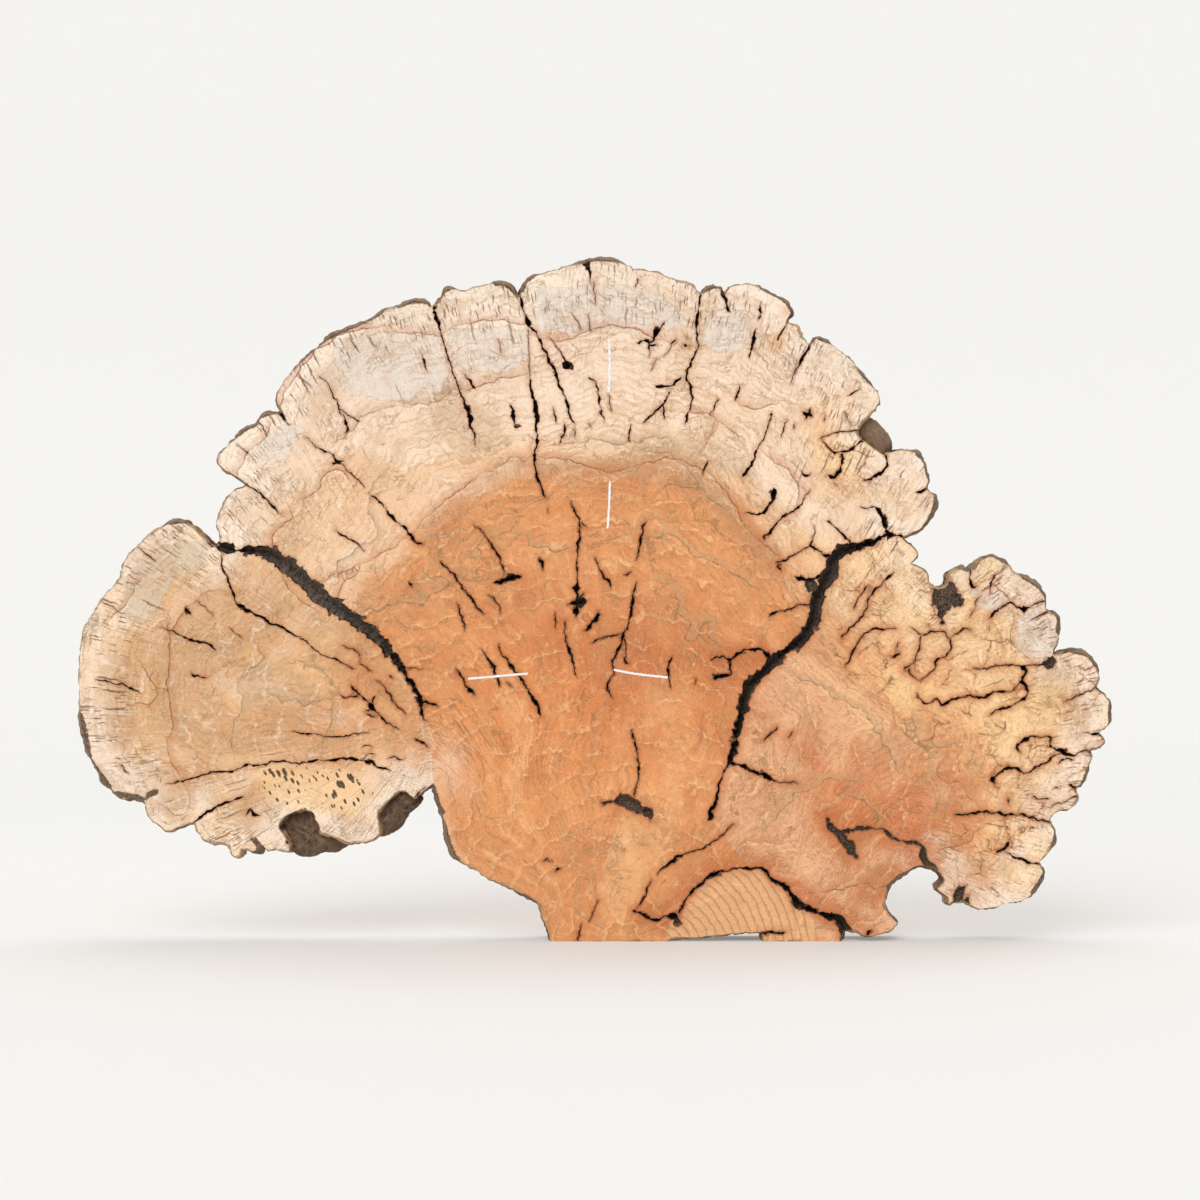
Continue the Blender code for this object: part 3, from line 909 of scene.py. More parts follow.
sheet = {
    "spacing": 6.4,
    "rowSpacing": 0.87,  # share of the spacing
    "clear": 2.6,  # free strip beside lips, lines and rim
    "jitter": 0.32,
    "lipOut": 1.05,  # the lips lie a little outside the groove
    "lipRagged": 3.2,
    "pocketLines": (-1, -0.7, -0.35, 0, 0.35, 0.7, 1),  # from lip to lip
    "wideLines": (-1, -0.5, 0, 0.5, 1),
    "narrowLines": (-1, 0, 1),
}


def fillPoints():
    rng = np.random.default_rng(7)
    spacing = sheet["spacing"]
    low, high = rim.min(axis=0), rim.max(axis=0)
    rows = []
    for i, z in enumerate(np.arange(low[1], high[1], spacing * sheet["rowSpacing"])):
        x = np.arange(low[0] + (i % 2) * spacing / 2, high[0], spacing)
        rows.append(np.stack([x, np.full(len(x), z)], axis=1))
    points = np.vstack(rows)
    points = points + rng.uniform(-1, 1, points.shape) * spacing * sheet["jitter"]
    points = points[insidePolygon(points, rim)]
    away, _, _ = nearestOnPath(points, rim, closed=True)
    points = points[away > sheet["clear"]]
    depth, outside, _ = crackField(points, openCracks, False)
    points = points[(depth == 0) & (outside > sheet["clear"])]
    for run in brownRuns + greyRuns:
        chosen = near(points, run, 10)
        away, _, _ = nearestOnPath(points[chosen], run)
        keep = np.ones(len(points), bool)
        keep[chosen[away < sheet["clear"]]] = False
        points = points[keep]
    return points


def addChain(points, edges, chain, tips=None):
    indices = []
    for place in chain:
        points.append((float(place[0]), float(place[1])))
        indices.append(len(points) - 1)
    if tips:
        indices = [tips[0], *indices, tips[1]]
    edges += list(zip(indices, indices[1:]))


def triangulate():
    points = [tuple(map(float, place)) for place in rim]
    edges = [(i, (i + 1) % len(points)) for i in range(len(points))]
    for sections, offsets in ((openCracks, None), (pockets, sheet["pocketLines"])):
        for section in sections:
            widest = max(place[2] for place in section)
            across = offsets or sheet["wideLines" if widest > crackShape["wide"] else "narrowLines"]
            points += [tuple(section[0][:2]), tuple(section[-1][:2])]
            tips = (len(points) - 2, len(points) - 1)
            for offset in across:
                chain = []
                for x, z, width, side in section[1:-1]:
                    ragged = min(0.8, sheet["lipRagged"] / width) * abs(wobble(x, z, 4.3, 40 + offset))
                    lip = sheet["lipOut"] + ragged * abs(offset) ** 3
                    px = x + side[0] * offset * width / 2 * lip
                    pz = z + side[1] * offset * width / 2 * lip
                    chain.append((px, pz))
                addChain(points, edges, chain, tips)
    for run in brownRuns + greyRuns:
        addChain(points, edges, run)
    points += [tuple(map(float, place)) for place in fillPoints()]
    result = geometry.delaunay_2d_cdt([Vector(place) for place in points], edges, [], 0, 0.02)
    places = np.array([tuple(place) for place in result[0]])
    faces = np.array([tuple(face) for face in result[2]])
    middles = places[faces].mean(axis=1)
    corners = places[faces]
    one, two = corners[:, 1] - corners[:, 0], corners[:, 2] - corners[:, 0]
    area = (one[:, 0] * two[:, 1] - one[:, 1] * two[:, 0]) / 2
    faces = faces[insidePolygon(middles, rim) & (np.abs(area) > 1e-4)]
    used = np.unique(faces)
    renumber = np.full(len(places), -1)
    renumber[used] = np.arange(len(used))
    return places[used], renumber[faces]


places, faces = triangulate()
print("  ", len(places), "points,", len(faces), "triangles")


def boundaryLoop(faces):
    # the longest closed run of edges that only one triangle uses, in the triangles' own direction
    directed = np.vstack([faces[:, [0, 1]], faces[:, [1, 2]], faces[:, [2, 0]]])
    known = set(map(tuple, directed.tolist()))
    following = {}
    for start, end in directed.tolist():
        if (end, start) not in known:
            following[start] = end
    loops = []
    while following:
        start, here = next(iter(following.items()))
        loop = [start]
        while here != start and here in following:
            loop.append(here)
            here = following.pop(here)
        following.pop(start, None)
        loops.append(loop)
    return max(loops, key=len)


loop = boundaryLoop(faces)
print("   rim of", len(loop), "points")

print("fields over the face")

spread = {
    "bark": 11,  # mm from a bark stretch to where the rim is bare
    "line": 30,  # how far from a drawn line its wash is worked out
    "pith": (40.0, 0.0),
    "backCracks": 0.55,  # share of the front's smaller cracks that the back has too
}


def barkiness(places):
    # 1 on the bark stretches, falling to 0 away from them
    best = np.full(len(places), float(spread["bark"]))
    for stretch in barkStretches:
        chosen = near(places, stretch, spread["bark"] + 1)
        away, _, _ = nearestOnPath(places[chosen], stretch)
        best[chosen] = np.minimum(best[chosen], away)
    return 1 - best / spread["bark"]


def fieldsOver(places):
    fields = {}
    rimAway, _, _ = nearestOnPath(places, rim, closed=True)
    fields["rimAway"] = rimAway
    fromPith = np.linalg.norm(places - np.array(spread["pith"]), axis=1)
    fields["growth"] = fromPith / (fromPith + rimAway)
    for name, (soft, outlines) in patches.items():
        best = np.full(len(places), 1e3)
        for text in outlines:
            polygon = np.array(readPoints(text))
            away, _, _ = nearestOnPath(places, polygon, closed=True)
            away[insidePolygon(places, polygon)] *= -1
            best = np.minimum(best, away)
        fields[name] = np.clip(0.5 - best / (2 * soft), -1, 2)
    fields["barky"] = barkiness(places)
    for name, runs in (("brownLine", brownRuns), ("greyLine", greyRuns)):
        best = np.full(len(places), float(spread["line"]))
        sided = best.copy()
        for run in runs:
            chosen = near(places, run, spread["line"])
            away, _, side = nearestOnPath(places[chosen], run)
            closer = away < best[chosen]
            best[chosen[closer]] = away[closer]
            sided[chosen[closer]] = (away * side)[closer]
        fields[name] = sided
    return fields


shared = fieldsOver(places)
rng = random.Random(11)
backCracks = openCracks[: len(throughCracks)]
backCracks += [section for section in openCracks[len(throughCracks):] if rng.random() < spread["backCracks"]]


def addFields(mesh, fields):
    for key, numbers in fields.items():
        layer = mesh.attributes.new(key, "FLOAT", "POINT")
        layer.data.foreach_set("value", np.asarray(numbers, np.float32))


def sawnFace(name, y, inwards, cracks, pocketCracks):
    depth, outside, gape = crackField(places, cracks, False)
    barkDepth, barkOutside, _ = crackField(places, pocketCracks, True)
    rough = np.array([wobble(x, z, 5, 2.0) for x, z in places])
    floor = np.maximum(depth, barkDepth) * (1 + 0.25 * rough)
    points = [(middleX + x * mm, y + inwards * d * mm, footZ + z * mm) for (x, z), d in zip(places, floor)]
    order = faces if inwards > 0 else faces[:, ::-1]
    obj = newObject(name, points, order.tolist(), smooth=False)
    values = dict(shared)
    values["depth"] = floor
    values["pocket"] = np.where(barkDepth > depth, 1.0, 0.0)
    values["lip"] = np.minimum(outside, barkOutside)
    values["gape"] = gape
    addFields(obj.data, values)
    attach(obj, "root")
    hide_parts("wood_slice")
    return obj, floor


frontFace, frontDepth = sawnFace("front_face", frontY, 1, openCracks, pockets)
backFace, backDepth = sawnFace("back_face", backY, -1, backCracks, pockets[:2])

print("live edge")


def bumps(x, z, deep, size, shift=0.0):
    across, through = size
    return noise.noise(Vector((x / across, z / across, deep / through + shift)))


def bandQuads(count, bands, turned):
    # quads between rings of points that follow one another
    quads = []
    for a in range(0, bands * count, count):
        for i in range(count):
            j = (i + 1) % count
            b = a + count
            quads.append((a + i, a + j, b + j, b + i) if turned else (a + j, a + i, b + i, b + j))
    return quads


def liveEdge():
    # from the rim of the front face round to the rim of the back face
    ring = places[loop]
    along = np.zeros_like(ring)
    for reach in (1, 2, 3):
        along += np.roll(ring, -reach, axis=0) - np.roll(ring, reach, axis=0)
    along = unit(along)
    outward = np.stack([along[:, 1], -along[:, 0]], axis=1)
    barky = barkiness(ring)
    points, relief, depthShare = [], [], []
    for level in range(edge["levels"] + 1):
        t = level / edge["levels"]
        fade = min(1.0, 5 * min(t, 1 - t)) ** 0.7
        bulge = edge["belly"] * math.sin(math.pi * min(1, 0.25 + 0.6 * t))
        for i, (x, z) in enumerate(ring):
            start = frontDepth[loop[i]]
            end = thickness / mm - backDepth[loop[i]]
            deep = start + (end - start) * t
            height = edge["ridge"] * (1 - 2 * abs(bumps(x, z, deep, edge["ridgeSize"])))
            height += edge["plate"] * bumps(x, z, deep, edge["plateSize"], 4)
            height += edge["grit"] * bumps(x, z, deep, edge["gritSize"]) + edge["bark"] * barky[i]
            out = fade * (bulge + height)
            px = x + outward[i][0] * out
            pz = max(z + outward[i][1] * out, 0.0) if z > 0.01 else 0.0
            points.append((middleX + px * mm, frontY + deep * mm, footZ + pz * mm))
            relief.append(height)
            depthShare.append(t)
    quads = bandQuads(len(ring), edge["levels"], False)
    return points, quads, relief, depthShare, np.tile(barky, edge["levels"] + 1).tolist()


# Rings of a bark lump from its blunt front to its closed back:
# how deep in the thickness, and how large against its outline
lumpFront = [(0.17, 0.02), (0.175, 0.16), (0.185, 0.3), (0.2, 0.46), (0.22, 0.6), (0.25, 0.74), (0.29, 0.86)]
lumpSide = [(0.34 + 0.055 * k, 0.94 + 0.06 * math.sin(math.pi * k / 10)) for k in range(11)]
lumpBack = [(0.92, 0.84), (0.945, 0.68), (0.96, 0.46), (0.965, 0.22), (0.967, 0.04)]
lumpBark = {
    "step": 4.0,
    "ridge": 2.4,
    "ridgeSize": (8, 20),
    "grit": 1.8,
    "gritSize": (3.6, 3.6),
}


def barkLump(text):
    polygon = readPoints(text)
    ring = np.array(curveThrough([*polygon, polygon[0]], lumpBark["step"])[:-1])
    middle = ring.mean(axis=0)
    rings = lumpFront + lumpSide + lumpBack
    points, relief, depthShare = [], [], []
    for t, scale in rings:
        capShare = max(0.0, 1 - scale)
        outwards = 1.2 if t < 0.5 else -1.2
        for x, z in ring:
            px, pz = middle + (np.array([x, z]) - middle) * scale
            deep = t * thickness / mm
            height = lumpBark["ridge"] * (1 - 2 * abs(bumps(px, pz, deep, lumpBark["ridgeSize"])))
            height += lumpBark["grit"] * bumps(px, pz, deep, lumpBark["gritSize"])
            away = unit(np.array([px, pz]) - middle)
            px += away[0] * height * (1 - capShare)
            pz += away[1] * height * (1 - capShare)
            y = frontY + (deep - height * capShare * outwards) * mm
            points.append((middleX + px * mm, y, footZ + pz * mm))
            relief.append(height)
            depthShare.append(t)
    count = len(ring)
    quads = [tuple(range(count - 1, -1, -1)), *bandQuads(count, len(rings) - 1, True)]
    quads.append(tuple(range(count * (len(rings) - 1), count * len(rings))))
    return points, quads, relief, depthShare


def makeEdge():
    points, quads, relief, share, barky = liveEdge()
    lump = [0.0] * len(points)
    for text in barkLumps:
        morePoints, moreQuads, moreRelief, moreShare = barkLump(text)
        base = len(points)
        points += morePoints
        quads += [tuple(index + base for index in quad) for quad in moreQuads]
        relief += moreRelief
        share += moreShare
        lump += [1.0] * len(morePoints)
        barky += [1.0] * len(morePoints)
    obj = newObject("live_edge", points, quads)
    mesh = obj.data
    addFields(mesh, {"relief": relief, "through": share, "lump": lump, "barky": barky})
    for polygon in mesh.polygons:
        if all(mesh.vertices[index].co.z < footZ + edge["foot"] * mm for index in polygon.vertices):
            polygon.material_index = 1
    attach(obj, "root")
    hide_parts("wood_slice")
    return obj


edgeObject = makeEdge()

print("chalk dashes")

chalk = {
    "step": 1.4,
    "width": 3.9,
    "proud": 0.35,
    "strokes": [
        "-196,407 -150,411 -104,415",
        "30,421 60,415 113,409",
        "22,933 23,890 22,852",
        "24,712 22,676 20,640",
    ],
}


def makeChalk():
    points, quads = [], []
    for k, text in enumerate(chalk["strokes"]):
        run = curveThrough(readPoints(text), chalk["step"])
        base = len(points)
        for i, (x, z) in enumerate(run):
            before, after = run[max(i - 1, 0)], run[min(i + 1, len(run) - 1)]
            along = unit(np.array([after[0] - before[0], after[1] - before[1]]))
            for side in (-1, 1):
                half = chalk["width"] / 2 * (0.86 + 0.45 * wobble(x, z, 1.7, k + side))
                px = x - along[1] * half * side + 0.8 * wobble(x, z, 14, k)
                pz = z + along[0] * half * side
                points.append((middleX + px * mm, frontY - chalk["proud"] * mm, footZ + pz * mm))
        for i in range(len(run) - 1):
            a = base + 2 * i
            quads.append((a, a + 1, a + 3, a + 2))
    obj = newObject("chalk_dashes", points, quads)
    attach(obj, "root")
    return obj


chalkObject = makeChalk()

print("materials")


def colour(red, green, blue):
    # from a picture's 0 to 255 to the renderer's own scale
    shares = [value / 255 for value in (red, green, blue)]
    return (*[s / 12.92 if s <= 0.04045 else ((s + 0.055) / 1.055) ** 2.4 for s in shares], 1.0)


wood = {
    "sap": colour(249, 219, 190),
    "crown": colour(244, 217, 191),
    "pale": colour(252, 235, 216),
    "yellow": colour(252, 212, 156),
    "gold": colour(255, 212, 158),
    "warm": colour(236, 188, 140),
    "heart": colour(224, 153, 100),
    "deep": colour(206, 121, 72),
    "glow": colour(238, 160, 98),
    "band": colour(190, 126, 84),
    "leftLobe": colour(217, 169, 124),
    "rightLobes": colour(247, 206, 158),
    "rust": colour(194, 108, 60),
    "grey": colour(228, 219, 209),
    "greyLeft": colour(206, 188, 162),
    "olive": colour(184, 150, 110),
    "ochre": colour(226, 160, 90),
    "brownLine": colour(136, 84, 54),
    "greyLine": colour(122, 98, 70),
    "fleck": colour(104, 68, 46),
    "halo": colour(190, 114, 66),
    "tan": colour(210, 168, 126),
    # painted shade for the deep part of open cracks and for the small holes
    "paintedHoleShade": colour(40, 30, 25),
    "crackBrown": colour(112, 74, 50),
    "filling": colour(150, 136, 124),
    "fillingDark": colour(76, 64, 56),
    "bark": colour(118, 96, 78),
    "barkDark": colour(50, 40, 34),
}
bark = {
    "furrow": colour(52, 41, 34),
    "ridge": colour(122, 98, 78),
    "worn": colour(160, 134, 108),
    "dust": colour(160, 146, 132),
    "pit": colour(36, 29, 25),
    "bare": colour(182, 138, 98),
    "barePale": colour(222, 184, 144),
    "bareFleck": colour(120, 82, 56),
    "inner": colour(226, 188, 146),
    "lump": colour(176, 144, 118),
}
sawnFoot = {
    "dark": colour(176, 118, 76),
    "light": colour(222, 172, 122),
    "pale": colour(236, 196, 150),
}
chalkTones = {
    "thin": colour(222, 214, 204),
    "thick": colour(252, 252, 254),
}
rays = {
    "left": (-250, 330, 480),  # where the rays of the left lobe meet, and how far off its rim is
    "right": (225, 260, 480),
    "crown": (40, 0, 900),
}


def finish(name, roughness):
    material = bpy.data.materials.new(name)
    material.use_nodes = True
    shader = material.node_tree.nodes["Principled BSDF"]
    shader.inputs["Roughness"].default_value = roughness
    shader.inputs["Specular IOR Level"].default_value = 0.25
    return material, material.node_tree, shader


def dashes(tree, across, along, spacing, length, width, density, seed):
    # broken fine lines; "across" counts millimetres from line to line and "along" runs with them
    lane = across / spacing
    number = lane.math("FLOOR")
    chance = whiteNoise(tree, number, seed)
    off = (lane.math("FRACT") - chance * 0.5 - 0.25).size() * spacing
    run = along / length + chance * 7.3
    lucky = whiteNoise(tree, number + seed * 3.1, run.math("FLOOR"))
    taper = (run.math("FRACT") - 0.5).size().step(0.5, 0.15)
    return (off - taper * width / 2).step(width / 2, 0.0) * lucky.step(1 - density, 1.001 - density) * taper


def whiteNoise(tree, one, other):
    values = {"Vector": vector(tree, one, other, 0.0)}
    return addNode(tree, "ShaderNodeTexWhiteNoise", {"noise_dimensions": "2D"}, values)


def cells(tree, spot, feature):
    settings = {"voronoi_dimensions": "2D", "feature": feature}
    return addNode(tree, "ShaderNodeTexVoronoi", settings, {"Vector": spot, "Scale": 1.0})


def sawnWood(name, spotShift):
    material, tree, shader = finish(name, 0.8)
    spot = place(tree)
    shift = addNode(tree, "ShaderNodeVectorMath", {"operation": "ADD"}, {0: spot, 1: spotShift})
    x = place(tree, "X")
    z = place(tree, "Z")
    rimAway = field(tree, "rimAway")
    growth = field(tree, "growth")
    lip = field(tree, "lip")
    depth = field(tree, "depth")
    pocket = field(tree, "pocket")

    broad = grain(tree, shift, 60, 3)
    medium = grain(tree, shift, 17, 3, 0.6, 0.6)
    fine = grain(tree, shift, 3.2, 2, 0.72)
    pores = grain(tree, shift, 1.2, 1, 0.6)
    curl = grain(tree, shift, 30, 3, 0.64, 2.4)
    clusters = grain(tree, shift, 46, 2)
    drift = grain(tree, shift, 105, 2)

    sway, waver, speck = broad - 0.5, medium - 0.5, fine - 0.5
    base = wood["sap"]

    def coat(share, tone):
        # one more colour over those laid before
        nonlocal base
        base = blend(tree, share, base, tone)

    # polar places about the middle of each part of the slice
    left = field(tree, "leftLobe").step(0.49, 0.51)
    right = field(tree, "rightSide").step(0.49, 0.51)
    (leftX, leftZ, leftReach), (rightX, rightZ, rightReach) = rays["left"], rays["right"]
    crownX, crownZ, crownReach = rays["crown"]
    fromX = x - crownX - left * (leftX - crownX) - right * (rightX - crownX)
    fromZ = z - crownZ - left * (leftZ - crownZ) - right * (rightZ - crownZ)
    angle = fromZ.math("ARCTAN2", fromX * (1 - left * 2))
    radius = (fromX * fromX + fromZ * fromZ).math("SQRT")
    arc = angle * (crownReach + left * (leftReach - crownReach) + right * (rightReach - crownReach))

    # broad colour of the wood: pale outside, orange at the heart, tan lobes
    crownShare = (field(tree, "crown") + sway * 0.7).step(0.1, 0.9)
    coat(crownShare, wood["crown"])
    leftShare = (field(tree, "leftLobe") + sway * 0.8).step(0.2, 0.8)
    coat(leftShare, wood["leftLobe"])
    rightShare = (field(tree, "rightLobes") + sway * 0.8).step(0.1, 0.95)
    coat(rightShare, wood["rightLobes"])
    leftWarm = (field(tree, "leftWarm") + sway * 0.9).step(0.0, 1.0)
    coat(leftWarm * 0.55, wood["heart"])
    warmCrown = (field(tree, "warmCrown") + waver * 0.6 + sway * 0.6).step(0.2, 0.8)
    coat(warmCrown * 0.65, wood["warm"])
    heartShare = (field(tree, "heart") + waver * 0.3 + sway * 0.9).step(0.1, 0.95)
    coat(heartShare * (1 - left) * (1 - right * 0.3), wood["heart"])
    deepShare = (field(tree, "deep") + sway * 1.6 + (curl - 0.5) * 0.8).step(0.1, 1.0)
    coat(deepShare * 0.85, wood["deep"])
    glow = (field(tree, "glow") + sway * 1.2).step(0.1, 1.0)
    coat(glow * 0.5, wood["glow"])
    brownBand = (field(tree, "brownBand") + waver * 0.8).step(0.1, 0.9)
    coat(brownBand * 0.6, wood["band"])
    offStem = z.step(190, 340).math("MAXIMUM", left).math("MAXIMUM", x.step(430, 560))
    sapEdge = (rimAway + sway * 90 + waver * 30).step(75, 12) * offStem
    coat(sapEdge * 0.8, wood["pale"])
    rust = (field(tree, "rust") + waver * 1.2 + speck * 0.5).step(0.05, 0.8)
    coat(rust * 0.75, wood["rust"])
    yellowShare = drift.step(0.5, 0.62) * (field(tree, "rightLobes").step(0.3, 0.9) * 0.6 + leftShare * 0.3)
    coat(yellowShare, wood["yellow"])

    # highlights and shades: golden and red-brown in the heart and the right side, cream and tan elsewhere
    golden = heartShare.math("MAXIMUM", rightShare * 0.6) * (1 - sapEdge * 0.7)
    bright = blend(tree, golden, wood["pale"], wood["gold"])
    dim = blend(tree, golden, wood["tan"], wood["halo"])
    coat(drift.step(0.48, 0.36) * 0.3, dim)

    # growth bands that follow the rim, with thin lines where one meets the next
    bandPlace = vector(tree, growth * 17 + waver * 0.55 + sway, x / 330, z / 330)
    band = grain(tree, bandPlace, 1.0, 3, 0.64)
    coat(band.step(0.5, 0.74) * 0.4, bright)
    coat(band.step(0.5, 0.28) * 0.4, wood["olive"])
    bandLine = (band - 0.455 + speck * 0.012).size().step(0.012, 0.003)
    coat(bandLine * drift.step(0.42, 0.56) * 0.5, wood["greyLine"])

    # stains
    oliveShare = (field(tree, "olive") + waver * 1.2).step(0.3, 0.9)
    coat(oliveShare * 0.38, wood["olive"])
    greyField = field(tree, "grey") + waver * 0.9 + sway * 0.8
    greyTone = blend(tree, left, wood["grey"], wood["greyLeft"])
    coat(greyField.step(0.32, 0.6) * 0.7, greyTone)
    coat((greyField - 0.42).size().step(0.07, 0.01) * 0.22, wood["greyLine"])
    ochreShare = (field(tree, "ochre") + speck * 2).step(0.3, 0.9)
    coat(ochreShare * 0.5, wood["ochre"])

    # burl figure: pale and dark clouds, and pale arcs with one sharp side
    coat(curl.step(0.54, 0.74) * 0.32, bright)
    coat(curl.step(0.47, 0.28) * 0.42, dim)
    arcPlace = radius / 38 + waver * 0.5 + sway * 2.4
    arcEdge = arcPlace.math("FRACT")
    arcCloud = (clusters + speck * 0.3).step(0.38, 0.62)
    coat(arcEdge.step(0.2, 0.0) * arcCloud * 0.46, bright)
    coat(arcEdge.step(0.6, 1.0) * arcCloud * 0.38, dim)
    curlLine = (curl - 0.5 + speck * 0.02).size().step(0.014, 0.004) * clusters.step(0.6, 0.45)
    coat(curlLine * (right * 0.44 + 0.14), wood["brownLine"])
    ringPlace = (growth * 95 + waver * 2.2 + sway * 3.0) * 6.2832
    ring = ringPlace.math("SINE")
    coat(ring.step(0.2, -1.0) * clusters.step(0.38, 0.6) * 0.22, wood["brownLine"])

    # small rounded burls toward the rim of the right lobes, each with a thin brown crack round it
    burlX = (x + waver * 30) / 44
    burlZ = (z + sway * 60) / 36
    burl = cells(tree, vector(tree, burlX, burlZ, 0.0), "DISTANCE_TO_EDGE")
    burlShare = clusters.step(0.47, 0.6) * field(tree, "rightLobes").step(0.4, 0.9) * growth.step(0.56, 0.7)
    coat(burl.step(0.2, 0.0) * burlShare * 0.3, wood["halo"])
    burlCrack = (burl + speck * 0.05 + waver * 0.12).step(0.035, 0.01)
    coat(burlCrack * burlShare * 0.75, wood["fleck"])

    # rays: pale streaks, and fine checks that run in from the rim
    streak = grain(tree, vector(tree, arc / 7, radius / 75, 3.0), 1.0, 3, 0.66)
    nearRim = (rimAway + sway * 120).step(210, 30) * offStem
    coat(streak.step(0.5, 0.72) * (nearRim * 0.26 + 0.08), bright)
    coat(streak.step(0.5, 0.3) * (nearRim * 0.26 + 0.08), dim)
    crooked = arc + waver * 9 + speck * 2
    nearer = (rimAway + sway * 90).step(120, 30) * offStem
    checks = dashes(tree, crooked, radius, 5.4, 24, 1.15, 0.5, 3.0) * clusters.step(0.38, 0.6) * nearer
    longChecks = dashes(tree, crooked, radius, 17, 60, 1.9, 0.2, 11.0) * drift.step(0.4, 0.6)
    check = checks.math("MAXIMUM", longChecks * (nearRim * 0.9 + 0.1))
    coat(check * 0.8, wood["fleck"])

    # wandering thin lines, some drawn and some by chance
    wander = grain(tree, shift, 80, 4.5, 0.64, 1.2)
    stray = wander - 0.5
    chanceCloud = drift.step(0.54, 0.46)
    coat(stray.size().step(0.009, 0.002) * chanceCloud * 0.5, wood["greyLine"])
    chanceWash = stray.step(-0.002, 0.002) * stray.step(0.05, 0.0)
    coat(chanceWash * chanceCloud * 0.3, wood["olive"])
    faint = (clusters + waver * 0.5).step(0.36, 0.58) * 0.65 + 0.35
    greyLine = field(tree, "greyLine")
    washShare = greyLine.step(-0.8, 0.8) * (greyLine + waver * 16).step(15, 1)
    coat(washShare * 0.42, wood["olive"])
    coat((greyLine.size() + speck * 2.2).step(1.6, 0.2) * faint * 0.6, wood["greyLine"])
    brownLine = field(tree, "brownLine")
    brownWash = brownLine.step(-0.8, 0.8) * (brownLine + waver * 18).step(16, 1)
    coat(brownWash * 0.32, wood["halo"])
    coat((brownLine.size() + speck * 2.2).step(1.7, 0.2) * faint * 0.8, wood["brownLine"])

    # small holes in the low left, painted flat as spots of painted shade, and the clear rings of the small
    # limb at the foot
    pitPlace = vector(tree, x * 0.1 + z * 0.05, x * 0.02 - z * 0.045, 0.0)
    pit = cells(tree, pitPlace, "F1")
    pitted = field(tree, "pits")
    coat((pitted + waver).step(0.1, 0.9) * 0.5, wood["yellow"])
    pitSize = pit + speck * 0.25 + (clusters - 0.5) * 0.9
    # painted shade: each flat hole is darkened as if shaded inside
    holeShade = pitSize.step(0.22, 0.14) * (pitted + waver * 1.4).step(0.45, 0.6)
    coat(holeShade * 0.9, wood["paintedHoleShade"])
    fan = (field(tree, "fan") + waver * 0.6).step(0.35, 0.65)
    fanX, fanZ = x - 85, z + 30
    fanRing = (((fanX * fanX + fanZ * fanZ).math("SQRT") + waver * 11) / 12.5).math("FRACT")
    coat(fan * 0.4, wood["rightLobes"])
    coat(fanRing.step(0.62, 0.98) * fan * 0.42, wood["fleck"])

    # grain of the cut itself
    coat(fine.step(0.54, 0.78) * 0.24, bright)
    coat(fine.step(0.46, 0.24) * 0.34, wood["fleck"])
    coat(pores.step(0.42, 0.25) * 0.3, wood["fleck"])

    # browned wood beside the cracks, bark line at the rim; inside the cracks brown walls, bark and filling,
    # and near-black painted shade deep in the open cracks
    wideHalo = (lip + waver * 14).step(13, 1)
    coat(wideHalo * (golden * 0.2 + right * 0.2 + 0.14) * (1 - sapEdge * 0.6), wood["halo"])
    halo = (lip + speck * 7 + waver * 4).step(3.4, 0.2)
    coat(halo * (golden * 0.34 + 0.4), wood["brownLine"])
    rimBark = (field(tree, "barky") + speck * 0.5 + waver * 0.3).step(0.5, 0.66)
    chanceBark = (rimAway + waver * 14 + speck * 5).step(2.4, 0.2)
    chanceBark = chanceBark * (clusters + waver * 0.6).step(0.5, 0.56) * 0.8
    coat(rimBark.math("MAXIMUM", chanceBark), wood["bark"])
    gritty = grain(tree, shift, 2.6, 2, 0.85)
    coat(rimBark * gritty.step(0.52, 0.4) * 0.8, wood["barkDark"])
    barkInside = blend(tree, gritty.step(0.4, 0.64), wood["barkDark"], wood["bark"])
    # painted shade: the deep part of open cracks is near-black, with a little brown
    narrow = blend(tree, gritty.step(0.45, 0.75) * 0.6, wood["paintedHoleShade"], wood["crackBrown"])
    filled = blend(tree, gritty.step(0.36, 0.62), wood["fillingDark"], wood["filling"])
    fillShare = field(tree, "gape").step(6.5, 11) * x.step(120, -60).math("MAXIMUM", 0.45)
    openInside = blend(tree, fillShare, narrow, filled)
    inside = blend(tree, pocket, openInside, barkInside)
    walls = (depth + speck * 2.4).step(0.4, 1.3)
    coat(walls, wood["crackBrown"])
    core = (depth + speck * 6).step(2.0, 4.8).math("MAXIMUM", pocket * walls)
    coat(core, inside)
    lay(tree, shader, "Base Color", base)

    lay(tree, shader, "Roughness", 0.72 + fine * 0.2)
    height = fine * 0.5 + pores * 0.3 + gritty * depth.step(0.5, 3) * 3
    bump = addNode(tree, "ShaderNodeBump", {}, {"Strength": 0.45, "Distance": 0.0014, "Height": height})
    lay(tree, shader, "Normal", bump)
    return material


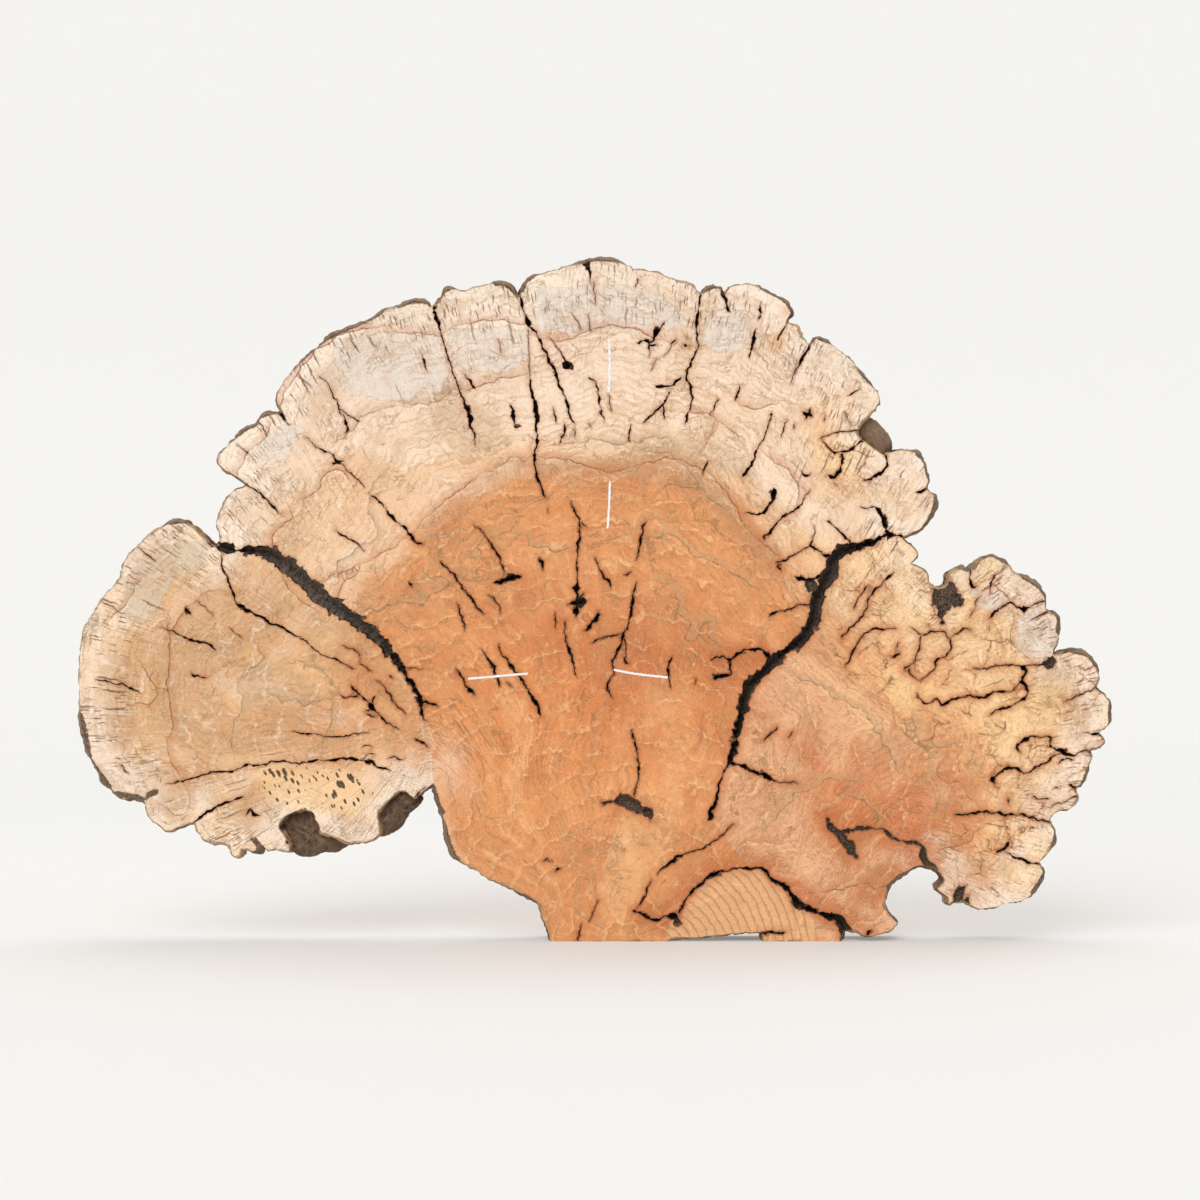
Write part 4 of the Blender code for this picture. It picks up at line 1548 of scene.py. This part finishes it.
def barkFinish():
    material, tree, shader = finish("bark", 0.9)
    spot = place(tree)
    x = place(tree, "X")
    relief = field(tree, "relief")
    through = field(tree, "through")
    fine = grain(tree, spot, 2.6, 4, 0.78)
    medium = grain(tree, spot, 14, 4, 0.6)
    broad = grain(tree, spot, 48, 3, 0.6)
    waver, speck = medium - 0.5, fine - 0.5
    base = blend(tree, (relief + speck * 6).step(-2.2, 2.4), bark["furrow"], bark["ridge"])
    base = blend(tree, (relief + waver * 6).step(1.4, 3.8) * 0.7, base, bark["worn"])
    base = blend(tree, fine.step(0.56, 0.7) * 0.5, base, bark["dust"])
    base = blend(tree, fine.step(0.44, 0.3) * 0.7, base, bark["pit"])
    # where the bark has come off, the wood beneath is tan and smooth
    barky = field(tree, "barky") + speck * 0.4
    bare = (broad + waver * 0.7 - barky * 0.5).step(0.42, 0.56)
    bareWood = blend(tree, medium.step(0.3, 0.7), bark["bare"], bark["barePale"])
    bareWood = blend(tree, fine.step(0.5, 0.28) * 0.6, bareWood, bark["bareFleck"])
    base = blend(tree, bare * 0.9, base, bareWood)
    # the pale inner bark shows beside both sawn faces
    deep = through + waver * 0.14
    for start, end in ((0.07, 0.02), (0.93, 0.98)):
        base = blend(tree, deep.step(start, end) * 0.8 * barky.step(0.5, 0.2), base, bark["inner"])
    paleLump = field(tree, "lump") * x.step(100, 200)
    base = blend(tree, paleLump * 0.5, base, bark["lump"])
    lay(tree, shader, "Base Color", base)
    lay(tree, shader, "Roughness", 0.78 + fine * 0.2)
    height = fine * 1.6 + medium * 1.0
    bump = addNode(tree, "ShaderNodeBump", {}, {"Strength": 0.8, "Distance": 0.003, "Height": height})
    lay(tree, shader, "Normal", bump)
    return material


def footFinish():
    # the foot is sawn along the grain: fibres run from front to back
    material, tree, shader = finish("sawn foot", 0.8)
    x = place(tree, "X")
    y = place(tree, "Y")
    fibres = grain(tree, vector(tree, x / 1.6, y / 40, 0.0), 1.0, 4, 0.65)
    bands = grain(tree, vector(tree, x / 14, y / 120, 2.0), 1.0, 3)
    base = blend(tree, fibres.step(0.3, 0.7), sawnFoot["dark"], sawnFoot["light"])
    base = blend(tree, bands.step(0.5, 0.7) * 0.4, base, sawnFoot["pale"])
    lay(tree, shader, "Base Color", base)
    lay(tree, shader, "Roughness", 0.74 + fibres * 0.2)
    bump = addNode(tree, "ShaderNodeBump", {}, {"Strength": 0.4, "Distance": 0.001, "Height": fibres})
    lay(tree, shader, "Normal", bump)
    return material


def chalkFinish():
    material, tree, shader = finish("chalk", 0.95)
    dust = grain(tree, place(tree), 1.4, 3, 0.7)
    tone = blend(tree, dust.step(0.35, 0.6), chalkTones["thin"], chalkTones["thick"])
    lay(tree, shader, "Base Color", tone)
    lay(tree, shader, "Roughness", 0.85 + dust * 0.15)
    bump = addNode(tree, "ShaderNodeBump", {}, {"Strength": 0.3, "Distance": 0.0006, "Height": dust})
    lay(tree, shader, "Normal", bump)
    return material


frontFace.data.materials.append(sawnWood("sawn face", (0.0, 0.0, 0.0)))
backFace.data.materials.append(sawnWood("sawn back", (310.0, 0.0, 170.0)))
edgeObject.data.materials.append(barkFinish())
edgeObject.data.materials.append(footFinish())
chalkObject.data.materials.append(chalkFinish())
